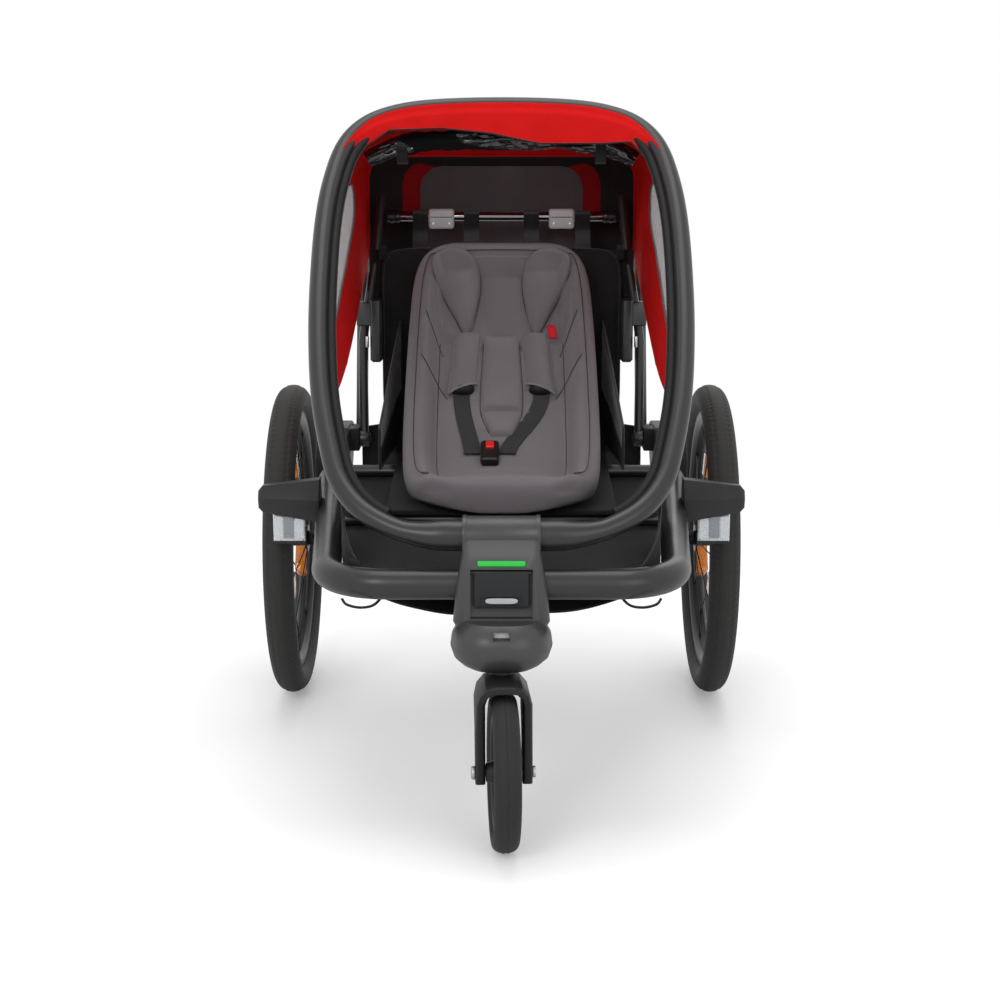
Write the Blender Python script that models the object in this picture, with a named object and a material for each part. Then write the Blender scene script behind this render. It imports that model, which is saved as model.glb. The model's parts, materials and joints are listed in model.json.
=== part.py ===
# Child bike trailer with one seat, set up as a stroller on its swivelling front wheel.
# Metres, +Z up, front towards -Y. The origin is on the floor under the middle of the object.
import math

import bmesh
import bpy
from mathutils import Matrix, Vector

# Wheels and overall layout
REAR_WHEEL_R = 0.250
CASTER_WHEEL_R = 0.1015
WHEELBASE = 0.720
WHEEL_X = 0.3375
AXLE_Y = (WHEELBASE + CASTER_WHEEL_R - REAR_WHEEL_R) / 2

# Clearances
FIT = 0.0003
RUNNING = 0.0005

# Rear wheel
TYRE_WIDTH = 0.047
TYRE_HEIGHT = 0.043
RIM_WIDTH = 0.027
RIM_DEPTH = 0.018
WHEEL_SIDES = 36
SPOKES_PER_SIDE = 10
SPOKE_HALF = 0.0010
HUB_BORE_R = 0.0066
HUB_BARREL_R = 0.014
HUB_END_R = 0.0115
HUB_FLANGE_R = 0.022
HUB_HALF = 0.032
FLANGE_AT = 0.021
FLANGE_HALF = 0.00125
REFLECTOR_RADII = (0.104, 0.138)
REFLECTOR_HALF_SPAN = 0.024
REFLECTOR_TURNS = {"left": math.radians(90), "right": math.radians(330)}

# Axles and wheel mounts
AXLE_R = 0.006
AXLE_CAP_R = 0.011
AXLE_CAP_LENGTH = 0.004
BUTTON_R = 0.004
BUTTON_TRAVEL = 0.0025
MOUNT_INNER = 0.246
MOUNT_OUTER = 0.298
MOUNT_FRONT = -0.045
CROSS_TUBE_R = 0.014

# Bumper: the lower U-shaped tube
BUMPER_R = 0.020
BUMPER_FRONT_Y = 0.080 - WHEELBASE
BUMPER_FRONT_HALF = 0.232
BUMPER_REAR_HALF = 0.268
BUMPER_CORNER_R = 0.085
BUMPER_FRONT_Z = 0.3265
BUMPER_REAR_Z = 0.362

# Hoop: the large leaning ring, hinged at its bottom in the front hub
HOOP_R = 0.0205
HOOP_PIVOT_Y = 0.1044 - WHEELBASE
HOOP_PIVOT_Z = 0.385
HOOP_LEAN = math.radians(48.4)
HOOP_STRAIGHT = 0.060
HOOP_OUTLINE = (
    (0.095, 0.003), (0.142, 0.020), (0.180, 0.046), (0.206, 0.083), (0.220, 0.128),
    (0.237, 0.216), (0.246, 0.316), (0.249, 0.416), (0.2475, 0.516), (0.240, 0.591),
    (0.224, 0.656), (0.195, 0.696), (0.150, 0.718), (0.090, 0.728),
)
HOOP_TOP = 0.731
SEAL_R = 0.005
SEAL_SINK = 0.0003
COLLAR_STEP = 0.0012
COLLAR_WIDTH = 0.005

# Front hub
HUB_SLEEVE_HALF = 0.050
HUB_SLEEVE_WALL = 0.0045
HUB_FRONT_Y = 0.044 - WHEELBASE
HUB_REAR_Y = 0.119 - WHEELBASE
HUB_BOTTOM_Z = 0.284
HUB_WAIST_Z = 0.330
HUB_NECK_Z = 0.370
HUB_HALVES = (0.0560, 0.0620, 0.0580, 0.0530, 0.0505)
BULB_HALF = 0.0655
BULB_FRONT_Y = -0.002 - WHEELBASE
BULB_BOTTOM_Z = 0.2247
STEM_Y = 0.045 - WHEELBASE
STEM_PIN_R = 0.012
STEM_PIN_TOP = 0.272

# Release lever, indicator and swivel lock in the hub
RECESS_HALF = 0.0395
RECESS_TOP = 0.3535
RECESS_BOTTOM = 0.2895
RECESS_DEPTH = 0.0115
LEVER_HALF = 0.0342
LEVER_THICK = 0.0065
LEVER_BOTTOM = 0.303
LEVER_PIN_R = 0.0025
GRIP_HALF = 0.0265
GRIP_HEIGHT = 0.011
SLIT_HALF = 0.0305
SLIT_HEIGHT = 0.0075
SLIT_DEPTH = 0.003
LOCK_HALF = 0.0105
LOCK_HEIGHT = 0.009
LOCK_TRAVEL = 0.003

# Caster
CASTER_YAW = math.radians(3.5)
CASTER_TYRE_WIDTH = 0.034
CASTER_RIM_R = 0.078
CASTER_SIDES = 24
FORK_LEG_THICK = 0.0125
FORK_LEG_INNER = 0.0235
FORK_CROWN_GAP = 0.004
FORK_KNEE_RISE = 0.0535
STEM_COLLAR_R = 0.016
CASTER_PIN_R = 0.004

# Bumper arms and their reflectors
ARM_GAP = 0.017
ARM_Y = -(REAR_WHEEL_R + ARM_GAP)
ARM_TIP_X = 0.359
ARM_ROOT_X = 0.268
ARM_ROOT_HALF_Y = 0.026
ARM_TIP_HALF_Y = 0.014
ARM_ROOT_Z = (0.333, 0.397)
ARM_TIP_Z = (0.349, 0.386)
ARM_PLATE_THICK = 0.005
LENS_X = (0.2915, 0.3385)
LENS_BOTTOM = 0.301
LENS_THICK = 0.009

# Floor, belly and front panel
PAN_THICK = 0.006
PAN_FRONT_Y = 0.124 - WHEELBASE
PAN_REAR_Y = -0.060
BELLY_DROP = 0.046
BELLY_HALF = 0.205
BELLY_THICK = 0.004
BELLY_REAR_Y = -0.300
PANEL_THICK = 0.003
PANEL_REAR_Y = -0.280
PANEL_PEAK_Y = -0.460
PANEL_REAR_RISE = 0.040
PANEL_UNDER_HOOP = 0.034
PANEL_INSET = 0.0020
PANEL_FOOT = 0.006
PANEL_FOOT_REAR = 0.0275
PANEL_TUBE_CLEAR = 0.040
PANEL_TOP_Z = 0.470

# Seat
SEAT_TUBE_R = 0.010
SEAT_TUBE_DROP = 0.0145
SEAT_TUBE_YS = (-0.360, -0.075)
SEAT_BOARD_HALF = 0.165
SEAT_BOARD_THICK = 0.008

# Upright: the folding frame behind the seat
POST_R = 0.0075
POST_X = 0.2235
POST_Y = 0.030
POST_FOOT_Z = 0.410
POST_TOP_X = 0.195
POST_TOP_Y = 0.095
POST_TOP_Z = 0.800
KNUCKLE_R = 0.014
KNUCKLE_WIDTH = 0.0147
LUG_HALF_Y = 0.018
BOLT_R = 0.005
BOLT_HEAD_R = 0.0085
BOLT_HEAD_THICK = 0.0027
HUB_PAD_X = (0.192, 0.2114)
HUB_PAD_Z = (0.536, 0.639)
HUB_PAD_HALF_Y = 0.016
HUB_CLAMP_BOTTOM = 0.594
SEAT_BACK_Y = 0.036
SEAT_BACK_THICK = 0.014
SEAT_BACK_Z = (0.432, 0.717)

# Harness bar
BAR_Y = 0.085
BAR_Z = 0.766
BAR_R = 0.008
BAR_HALF = 0.1655
BAR_KNOB_R = 0.0105
CLAMP_X = 0.0975
CLAMP_HALF = 0.0205
STRAP_XS = (0.1315, 0.0485)
STRAP_WIDTH = 0.024
STRAP_THICK = 0.002
STRAP_END_Z = 0.600

# Canopy
CANOPY_THICK = 0.003
CANOPY_INSET = 0.0135
CANOPY_BACK = 0.0173
CANOPY_START = 0.300
CANOPY_REAR_Y = 0.135
CANOPY_REAR_HALF = 0.222
CANOPY_REAR_TOP = 0.865
CANOPY_REAR_BOTTOM = 0.655
CANOPY_BULGE = 0.012
CANOPY_RIM_SHARE = 0.5
CANOPY_BULGE_FROM = 0.700
CANOPY_BACK_STEP = 0.004
REAR_CORNER_R = 0.036
FLAP_HALF = 0.133
FLAP_TOP = 0.845
FLAP_GAP = 0.001
FLAP_THICK = 0.002
FLAP_SAG = 0.022
REAR_FLAP_POINTS = 21
ROLL_R = 0.018
ROLL_HALF = 0.178
ROLL_Y = -0.102
ROLL_Z = 0.8908
ROLL_DROOP = 0.034

# Push handle and parking brake
HANDLE_R = 0.010
HANDLE_X = 0.2317
HANDLE_Y = 0.085
HANDLE_FOOT_Z = 0.410
HANDLE_TOP_Y = 0.213
HANDLE_TOP_Z = 0.838
HANDLE_CORNER_R = 0.050
HANDLE_KNUCKLE_R = 0.016
HANDLE_KNUCKLE_INNER = 0.2217
GRIP_R = 0.0165
GRIP_HALF_LENGTH = 0.150
PEDAL_HALF = 0.030
PEDAL_RING_R = 0.021
PEDAL_REACH = 0.100

# Mesh panels beside the seat
MESH_PANEL_X = (0.184, 0.1695)
MESH_PANEL_TOP = (0.600, 0.455)
MESH_PANEL_FRONT_Y = -0.165
MESH_PANEL_THICK = 0.0025

# Seat insert and its buckle
INSERT_KNOTS = ((-0.420, 0.394), (-0.340, 0.395), (-0.240, 0.413), (-0.150, 0.465),
                (-0.085, 0.548), (-0.035, 0.642), (0.003, 0.724))
INSERT_DEPTH = 0.045
INSERT_ROWS = 15
INSERT_COLUMNS = 16
INSERT_RIM = 0.026
PAD_LIFT = 0.0024
HEAD_PAD_RUN = (0.745, 0.918)
BODY_PAD_RUN = (0.440, 0.735)
SHOULDER_PAD_RUN = (0.580, 0.735)
INSERT_HALVES = ((0.0, 0.070), (0.06, 0.108), (0.20, 0.138), (0.45, 0.149), (0.70, 0.146),
                 (0.90, 0.140), (0.96, 0.126), (1.0, 0.104))
SHOULDER_STRAP_FEATHER = 0.012
BUCKLE_X = -0.0175
BUCKLE_S = 0.355
BUCKLE_HALF = (0.0140, 0.0270)
BUCKLE_HEIGHTS = (0.0060, 0.0190)
BUCKLE_BUTTON_HALF = (0.0065, 0.0085)
BUCKLE_BUTTON_TRAVEL = 0.0015

# Colours
DARK_GREY = (0.060, 0.062, 0.068)
BLACK = (0.012, 0.012, 0.013)
RED = (0.420, 0.030, 0.045)
MESH_GREY = (0.190, 0.190, 0.200)
INSERT_GREY = (0.165, 0.150, 0.160)
SILVER = (0.600, 0.600, 0.610)
FLAP_GREY = (0.090, 0.090, 0.100)


def clear_scene():
    for obj in list(bpy.data.objects):
        bpy.data.objects.remove(obj, do_unlink=True)


def at(x, y, z):
    """A point whose Y is measured from the rear axle."""
    return Vector((x, AXLE_Y + y, z))


def lerp(a, b, t):
    return a + (b - a) * t


def finish(name, bm, colour, roughness=0.5, metallic=0.0, sharp=40.0):
    """Turn a bmesh into a named object with its own material."""
    bmesh.ops.recalc_face_normals(bm, faces=bm.faces)
    mesh = bpy.data.meshes.new(name)
    bm.to_mesh(mesh)
    bm.free()
    mesh.shade_smooth()
    mesh.set_sharp_from_angle(angle=math.radians(sharp))
    surface = bpy.data.materials.new(name + "_finish")
    surface.use_nodes = True
    shader = surface.node_tree.nodes["Principled BSDF"]
    shader.inputs["Base Color"].default_value = (*colour, 1.0)
    shader.inputs["Roughness"].default_value = roughness
    shader.inputs["Metallic"].default_value = metallic
    mesh.materials.append(surface)
    obj = bpy.data.objects.new(name, mesh)
    bpy.context.collection.objects.link(obj)
    return obj


def hide_tool(obj):
    """Mark a cutter or a shape that only serves a Boolean."""
    obj.hide_render = True
    obj.display_type = "WIRE"
    return obj


def combine(obj, tool, operation="DIFFERENCE"):
    boolean = obj.modifiers.new(operation.title(), "BOOLEAN")
    boolean.operation = operation
    boolean.object = hide_tool(tool)
    return obj


def round_edges(obj, width, segments=1):
    edges = obj.modifiers.new("Edges", "BEVEL")
    edges.width = width
    edges.segments = segments
    edges.limit_method = "ANGLE"
    edges.angle_limit = math.radians(40.0)
    return obj


def skin(bm, rings, closed_along=False, closed_round=True):
    """Join rings of points with quads, and cap both ends unless the path is closed."""
    rows = [[bm.verts.new(point) for point in ring] for ring in rings]
    pairs = list(zip(rows, rows[1:]))
    if closed_along:
        pairs.append((rows[-1], rows[0]))
    count = len(rows[0])
    for near, far in pairs:
        for i in range(count if closed_round else count - 1):
            j = (i + 1) % count
            bm.faces.new((near[i], near[j], far[j], far[i]))
    if not closed_along:
        bm.faces.new(rows[0])
        bm.faces.new(list(reversed(rows[-1])))
    return rows


def loft(name, rings, colour, **finish_options):
    bm = bmesh.new()
    skin(bm, rings)
    return finish(name, bm, colour, **finish_options)


def round_section(radius, sides, start=0.0):
    step = 2 * math.pi / sides
    return [(radius * math.cos(start + i * step), radius * math.sin(start + i * step))
            for i in range(sides)]


def flat_section(width, height):
    return [(-width / 2, -height / 2), (width / 2, -height / 2),
            (width / 2, height / 2), (-width / 2, height / 2)]


def spline(points, steps):
    """Points on a smooth curve that passes through the given points."""
    padded = [points[0] * 2 - points[1]] + list(points) + [points[-1] * 2 - points[-2]]
    curve = []
    for before, start, end, after in zip(padded, padded[1:], padded[2:], padded[3:]):
        for i in range(steps):
            t = i / steps
            curve.append(0.5 * (2 * start + (end - before) * t
                                + (2 * before - 5 * start + 4 * end - after) * t * t
                                + (3 * start - before - 3 * end + after) * t ** 3))
    curve.append(points[-1].copy())
    return curve


def sweep(name, path, section, colour, side, closed=False, **finish_options):
    """Carry a flat section along a path. Its first coordinate points along side."""
    rings = []
    last = len(path) - 1
    for i, point in enumerate(path):
        before = path[i - 1] if i > 0 or closed else point
        after = path[(i + 1) % len(path)] if i < last or closed else point
        tangent = (after - before).normalized()
        across = (side - tangent * side.dot(tangent)).normalized()
        up = tangent.cross(across)
        rings.append([point + across * a + up * b for a, b in section])
    bm = bmesh.new()
    skin(bm, rings, closed_along=closed)
    return finish(name, bm, colour, **finish_options)


def turned(name, profile, centre, axis, sides, colour, **finish_options):
    """Turn a profile of (along, radius) pairs about an axis, as a ring or a solid."""
    axis = axis.normalized()
    across = axis.orthogonal().normalized() if abs(axis.x) < 0.9 else Vector((0, 0, 1))
    across = (across - axis * across.dot(axis)).normalized()
    other = axis.cross(across)
    solid = profile[0][1] == 0.0
    bm = bmesh.new()
    rows = []
    for along, radius in profile:
        if radius == 0.0:
            rows.append([bm.verts.new(centre + axis * along)])
            continue
        row = []
        for i in range(sides):
            angle = 2 * math.pi * i / sides
            spoke = across * math.cos(angle) + other * math.sin(angle)
            row.append(bm.verts.new(centre + axis * along + spoke * radius))
        rows.append(row)
    pairs = list(zip(rows, rows[1:]))
    if not solid:
        pairs.append((rows[-1], rows[0]))
    for near, far in pairs:
        for i in range(sides):
            j = (i + 1) % sides
            corners = [near[i % len(near)], near[j % len(near)],
                       far[j % len(far)], far[i % len(far)]]
            face = list(dict.fromkeys(corners))
            bm.faces.new(face)
    return finish(name, bm, colour, **finish_options)


def rod(name, start, end, radius, colour, sides=20, **finish_options):
    """A plain round bar between two points."""
    length = (end - start).length
    profile = [(0.0, 0.0), (0.0, radius), (length, radius), (length, 0.0)]
    return turned(name, profile, start, end - start, sides, colour, **finish_options)


def block(name, low, high, colour, **finish_options):
    """A box between two corners, whose Y is measured from the rear axle."""
    rings = []
    for z in (low[2], high[2]):
        rings.append([at(low[0], low[1], z), at(high[0], low[1], z),
                      at(high[0], high[1], z), at(low[0], high[1], z)])
    return loft(name, rings, colour, **finish_options)


def plate(name, outline, x_low, x_high, colour, **finish_options):
    """A flat piece with an outline of (y, z) points, cut across X."""
    rings = [[at(x, y, z) for y, z in outline] for x in (x_low, x_high)]
    return loft(name, rings, colour, **finish_options)


def sheet(name, points, keep, thickness, colour, shrink=0.0, flat_cells=False, **finish_options):
    """Thicken the kept cells of a grid of points into one closed skin.

    Cells of a strongly twisted sheet are split into flat triangles.
    """
    rows = len(points)
    columns = len(points[0])
    normals = [[grid_normal(points, i, j) for j in range(columns)] for i in range(rows)]
    cells = [(i, j) for i in range(rows - 1) for j in range(columns - 1) if keep(i, j)]
    middle = sum((points[i][j] for i, j in cells), Vector()) / len(cells)
    bm = bmesh.new()
    upper = {}
    lower = {}

    def corner(i, j):
        if (i, j) not in upper:
            point = points[i][j]
            towards = (middle - point).normalized() * shrink
            upper[i, j] = bm.verts.new(point + towards + normals[i][j] * thickness / 2)
            lower[i, j] = bm.verts.new(point + towards - normals[i][j] * thickness / 2)
        return (i, j)

    edges = {}
    for i, j in cells:
        ring = [corner(i, j), corner(i + 1, j), corner(i + 1, j + 1), corner(i, j + 1)]
        bm.faces.new([upper[key] for key in ring])
        bm.faces.new([lower[key] for key in reversed(ring)])
        for a, b in zip(ring, ring[1:] + ring[:1]):
            if (b, a) in edges:
                del edges[b, a]
            else:
                edges[a, b] = True
    for a, b in edges:
        bm.faces.new((upper[b], upper[a], lower[a], lower[b]))
    if flat_cells:
        bm.normal_update()
        twisted = [f for f in bm.faces if max(abs((v.co - f.verts[0].co).dot(f.normal)) for v in f.verts) > 1e-6]
        bmesh.ops.triangulate(bm, faces=twisted)
    return finish(name, bm, colour, **finish_options)


def grid_normal(points, i, j):
    rows = len(points)
    columns = len(points[0])
    along = points[min(i + 1, rows - 1)][j] - points[max(i - 1, 0)][j]
    across = points[i][min(j + 1, columns - 1)] - points[i][max(j - 1, 0)]
    return along.cross(across).normalized()


def cushion(name, front, back, rows, columns, colour, **finish_options):
    """A stuffed form between a front and a back surface given by functions of s and q."""
    bm = bmesh.new()

    def surface(shape):
        return [[bm.verts.new(shape(i / rows, -1 + 2 * j / columns)) for j in range(columns + 1)]
                for i in range(rows + 1)]

    face_grid = surface(front)
    back_grid = surface(back)
    for i in range(rows):
        for j in range(columns):
            bm.faces.new((face_grid[i][j], face_grid[i][j + 1],
                          face_grid[i + 1][j + 1], face_grid[i + 1][j]))
            bm.faces.new((back_grid[i][j], back_grid[i + 1][j],
                          back_grid[i + 1][j + 1], back_grid[i][j + 1]))
    border = ([(0, j) for j in range(columns)] + [(i, columns) for i in range(rows)]
              + [(rows, j) for j in range(columns, 0, -1)] + [(i, 0) for i in range(rows, 0, -1)])
    for (i, j), (k, m) in zip(border, border[1:] + border[:1]):
        bm.faces.new((face_grid[k][m], face_grid[i][j], back_grid[i][j], back_grid[k][m]))
    return finish(name, bm, colour, **finish_options)


def pivot(name, location):
    """An empty on a joint's axis, which carries the pieces that move on it."""
    empty = bpy.data.objects.new(name, None)
    empty.location = location
    bpy.context.collection.objects.link(empty)
    return empty


def carry(empty, *pieces):
    """Hang pieces on a pivot without moving them."""
    for piece in pieces:
        piece.data.transform(Matrix.Translation(-empty.location))
        piece.parent = empty


# Paths that several pieces share

def bumper_height(y):
    """Height of the bumper tube's centre line, rising gently towards the wheels."""
    run = (y - BUMPER_FRONT_Y) / (MOUNT_FRONT - BUMPER_FRONT_Y)
    return lerp(BUMPER_FRONT_Z, BUMPER_REAR_Z, max(run, 0.0) ** 1.3)


def bumper_half(y):
    """Half width between the bumper's centre lines."""
    corner_end = BUMPER_FRONT_Y + BUMPER_CORNER_R
    if y < corner_end:
        depth = corner_end - y
        return (BUMPER_FRONT_HALF - BUMPER_CORNER_R
                + math.sqrt(max(BUMPER_CORNER_R ** 2 - depth ** 2, 0.0)))
    run = (y - corner_end) / (MOUNT_FRONT - 0.04 - corner_end)
    return lerp(BUMPER_FRONT_HALF, BUMPER_REAR_HALF, min(run, 1.0))


def bumper_path():
    """Centre line from the left wheel mount, round the front, to the right wheel mount."""
    half = [at(0, BUMPER_FRONT_Y, BUMPER_FRONT_Z),
            at(BUMPER_FRONT_HALF - BUMPER_CORNER_R, BUMPER_FRONT_Y, BUMPER_FRONT_Z)]
    for step in range(1, 7):
        turn = math.radians(step * 90 / 6)
        y = BUMPER_FRONT_Y + BUMPER_CORNER_R * (1 - math.cos(turn))
        x = BUMPER_FRONT_HALF + BUMPER_CORNER_R * (math.sin(turn) - 1)
        half.append(at(x, y, bumper_height(y)))
    for y in (-0.47, -0.38, -0.29, -0.20, -0.13, MOUNT_FRONT - 0.04, MOUNT_FRONT - FIT):
        half.append(at(bumper_half(y), y, bumper_height(y)))
    half[-2].z = half[-1].z
    return [Vector((-p.x, p.y, p.z)) for p in reversed(half[1:])] + half


def hoop_axes():
    """The hoop plane's upward direction and its normal, which points back and down."""
    up = Vector((0, math.cos(HOOP_LEAN), math.sin(HOOP_LEAN)))
    back = Vector((0, math.sin(HOOP_LEAN), -math.cos(HOOP_LEAN)))
    return up, back


def hoop_half(steps):
    """Centre line of the right half, from the straight bottom run to the top."""
    up, _ = hoop_axes()
    foot = at(0, HOOP_PIVOT_Y, HOOP_PIVOT_Z)
    points = [foot + Vector((HOOP_STRAIGHT, 0, 0))]
    points += [foot + Vector((x, 0, 0)) + up * t for x, t in HOOP_OUTLINE]
    points.append(foot + up * HOOP_TOP)
    points.append(foot + Vector((-HOOP_OUTLINE[-1][0], 0, 0)) + up * HOOP_OUTLINE[-1][1])
    curve = spline(points, steps)
    return curve[:-steps]


def hoop_path(steps=2, inset=0.0, back=0.0):
    """The whole ring, moved towards its inside and behind its plane."""
    _, normal = hoop_axes()
    right = hoop_half(steps)
    left = [Vector((-p.x, p.y, p.z)) for p in reversed(right[:-1])]
    ring = right + left
    moved = []
    for i, point in enumerate(ring):
        tangent = (ring[(i + 1) % len(ring)] - ring[i - 1]).normalized()
        inward = tangent.cross(normal).normalized()
        middle = at(0, HOOP_PIVOT_Y, HOOP_PIVOT_Z) + hoop_axes()[0] * HOOP_TOP / 2
        if inward.dot(middle - point) < 0:
            inward = -inward
        moved.append(point + inward * inset + normal * back)
    return moved


# Base: what stays still when the trailer folds

def bumper_tool(extra):
    return sweep("bumper_guide", bumper_path(), round_section(BUMPER_R + extra, 12),
                 BLACK, Vector((0, 0, 1)))


def build_bumper():
    sweep("bumper_tube", bumper_path(), round_section(BUMPER_R, 12), DARK_GREY,
          Vector((0, 0, 1)), roughness=0.45)


def hub_ring(z, half, front, rear, corner, corner_steps=4):
    """A rounded rectangle at one height of the front hub."""
    ring = []
    for cx, cy, start in ((half - corner, rear - corner, 0), (corner - half, rear - corner, 90),
                          (corner - half, front + corner, 180), (half - corner, front + corner, 270)):
        for step in range(corner_steps + 1):
            angle = math.radians(start + 90 * step / corner_steps)
            ring.append(at(cx + corner * math.cos(angle), cy + corner * math.sin(angle), z))
    return ring


def build_front_hub():
    box_rings = [
        hub_ring(HUB_BOTTOM_Z - 0.012, HUB_HALVES[0], HUB_FRONT_Y + 0.004, HUB_REAR_Y, 0.012),
        hub_ring(HUB_BOTTOM_Z, HUB_HALVES[1], HUB_FRONT_Y, HUB_REAR_Y, 0.012),
        hub_ring(HUB_WAIST_Z, HUB_HALVES[2], HUB_FRONT_Y, HUB_REAR_Y, 0.012),
        hub_ring(RECESS_TOP + 0.002, HUB_HALVES[3], HUB_FRONT_Y, HUB_REAR_Y, 0.012),
        hub_ring(HUB_NECK_Z, HUB_HALVES[4], HUB_FRONT_Y + 0.014, HUB_REAR_Y, 0.012),
        hub_ring(HOOP_PIVOT_Z, HUB_SLEEVE_HALF, HUB_FRONT_Y + 0.036, HUB_REAR_Y - 0.006, 0.008),
    ]
    hub = loft("front_hub", box_rings, BLACK, roughness=0.45)
    sleeve_r = HOOP_R + RUNNING + HUB_SLEEVE_WALL
    hoop_axis = at(0, HOOP_PIVOT_Y, HOOP_PIVOT_Z)
    rim = (sleeve_r + COLLAR_STEP, HUB_SLEEVE_HALF - COLLAR_WIDTH)
    right = [(rim[1], sleeve_r), (rim[1], rim[0]), (HUB_SLEEVE_HALF, rim[0]), (HUB_SLEEVE_HALF, 0.0)]
    sleeve = [(-along, radius) for along, radius in reversed(right)] + right
    combine(hub, turned("sleeve_guide", sleeve, hoop_axis, Vector((1, 0, 0)), 24, BLACK), "UNION")
    combine(hub, build_bulb_guide(), "UNION")
    wide = Vector((HUB_SLEEVE_HALF + 0.02, 0, 0))
    combine(hub, rod("hoop_bore", hoop_axis - wide, hoop_axis + wide, HOOP_R + RUNNING, BLACK, 28))
    combine(hub, bumper_tool(FIT))
    stem_foot = at(0, STEM_Y, BULB_BOTTOM_Z - 0.01)
    stem_head = at(0, STEM_Y, STEM_PIN_TOP + FIT)
    combine(hub, rod("stem_bore", stem_foot, stem_head, STEM_PIN_R + FIT, BLACK, 24))
    front = HUB_FRONT_Y - 0.03
    combine(hub, block("recess_tool", (-RECESS_HALF, front, RECESS_BOTTOM),
                       (RECESS_HALF, HUB_FRONT_Y + RECESS_DEPTH, RECESS_TOP), BLACK))
    slit_z = slit_height()
    combine(hub, block("slit_tool", (-SLIT_HALF, front, slit_z - SLIT_HEIGHT / 2),
                       (SLIT_HALF, slit_face() + SLIT_DEPTH, slit_z + SLIT_HEIGHT / 2), BLACK))
    combine(hub, block("lock_tool", (-LOCK_HALF - FIT, front - 0.03, lock_height() - LOCK_HEIGHT / 2 - FIT),
                       (LOCK_HALF + FIT, lock_face() + LOCK_TRAVEL + 0.006,
                        lock_height() + LOCK_HEIGHT / 2 + FIT), BLACK))


def build_bulb_guide():
    """The rounded housing under the hub, which holds the caster's stem."""
    middle_y = (BULB_FRONT_Y + HUB_REAR_Y + 0.004) / 2
    half_y = (HUB_REAR_Y + 0.004 - BULB_FRONT_Y) / 2
    rings = []
    for z, share in ((BULB_BOTTOM_Z, 0.62), (BULB_BOTTOM_Z + 0.006, 0.78), (0.240, 0.93),
                     (0.254, 1.0), (0.268, 0.97), (0.278, 0.88), (HUB_BOTTOM_Z + 0.003, 0.72)):
        ring = []
        for step in range(32):
            angle = 2 * math.pi * step / 32
            x = math.copysign(abs(math.cos(angle)) ** 0.75, math.cos(angle)) * BULB_HALF * share
            y = math.copysign(abs(math.sin(angle)) ** 0.85, math.sin(angle)) * half_y * share
            ring.append(at(x, middle_y + y, z))
        rings.append(ring)
    return loft("bulb_guide", rings, BLACK)


def slit_height():
    return RECESS_TOP + 0.007


def slit_face():
    """The hub's front face slopes back above the lever recess."""
    run = (slit_height() - SLIT_HEIGHT / 2 - RECESS_TOP - 0.002) / (0.370 - RECESS_TOP - 0.002)
    return HUB_FRONT_Y + 0.014 * run


def lock_height():
    return HUB_BOTTOM_Z - 0.008


def lock_face():
    return BULB_FRONT_Y + 0.020


def build_hub_indicator():
    z = slit_height()
    half = SLIT_HEIGHT / 2 - FIT
    block("hub_indicator", (-SLIT_HALF + FIT, slit_face() + 0.0008, z - half),
          (SLIT_HALF - FIT, slit_face() + SLIT_DEPTH - FIT, z + half), (0.10, 0.38, 0.06))


def build_release_lever():
    """A flap lever that swings out of the hub's recess on two side pins."""
    hinge_z = RECESS_TOP - LEVER_THICK / 2 - 0.0015
    hinge_y = HUB_FRONT_Y + LEVER_THICK / 2 + 0.0015
    outline = []
    for step in range(9):
        angle = math.radians(180 * step / 8)
        outline.append((hinge_y + LEVER_THICK / 2 * math.cos(angle),
                        hinge_z + LEVER_THICK / 2 * math.sin(angle)))
    outline += [(hinge_y - LEVER_THICK / 2 - 0.0015, LEVER_BOTTOM + 0.006),
                (hinge_y - LEVER_THICK / 2 - 0.0005, LEVER_BOTTOM),
                (hinge_y + LEVER_THICK / 2 - 0.001, LEVER_BOTTOM)]
    lever = plate("release_lever", outline, -LEVER_HALF, LEVER_HALF, BLACK, roughness=0.4)
    hinge = at(0, hinge_y, hinge_z)
    pin_half = Vector((RECESS_HALF - FIT, 0, 0))
    combine(lever, rod("lever_pin_guide", hinge - pin_half, hinge + pin_half, LEVER_PIN_R, BLACK, 12), "UNION")
    grip_z = LEVER_BOTTOM + 0.0095
    face = hinge_y - LEVER_THICK / 2 - 0.0015
    combine(lever, block("grip_pocket", (-GRIP_HALF, face - 0.01, grip_z - GRIP_HEIGHT / 2),
                         (GRIP_HALF, face + 0.0022, grip_z + GRIP_HEIGHT / 2), BLACK))
    carry(pivot("lever_hinge", hinge), lever)


def build_lock_button():
    z = lock_height()
    button = block("lock_button", (-LOCK_HALF, lock_face() - 0.002, z - LOCK_HEIGHT / 2),
                   (LOCK_HALF, lock_face() + 0.006 - FIT, z + LOCK_HEIGHT / 2), (0.62, 0.62, 0.63))
    carry(pivot("lock_slide", at(0, lock_face(), z)), button)


# Caster: fork, pin and wheel

def caster_turn(point):
    """Turn a point about the stem, because the caster stands slightly askew."""
    stem = at(0, STEM_Y, 0)
    return stem + Matrix.Rotation(CASTER_YAW, 3, "Z") @ (point - stem)


def caster_axle_point():
    return caster_turn(at(0, -WHEELBASE, CASTER_WHEEL_R))


def caster_axis():
    return Matrix.Rotation(CASTER_YAW, 3, "Z") @ Vector((1, 0, 0))


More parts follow.
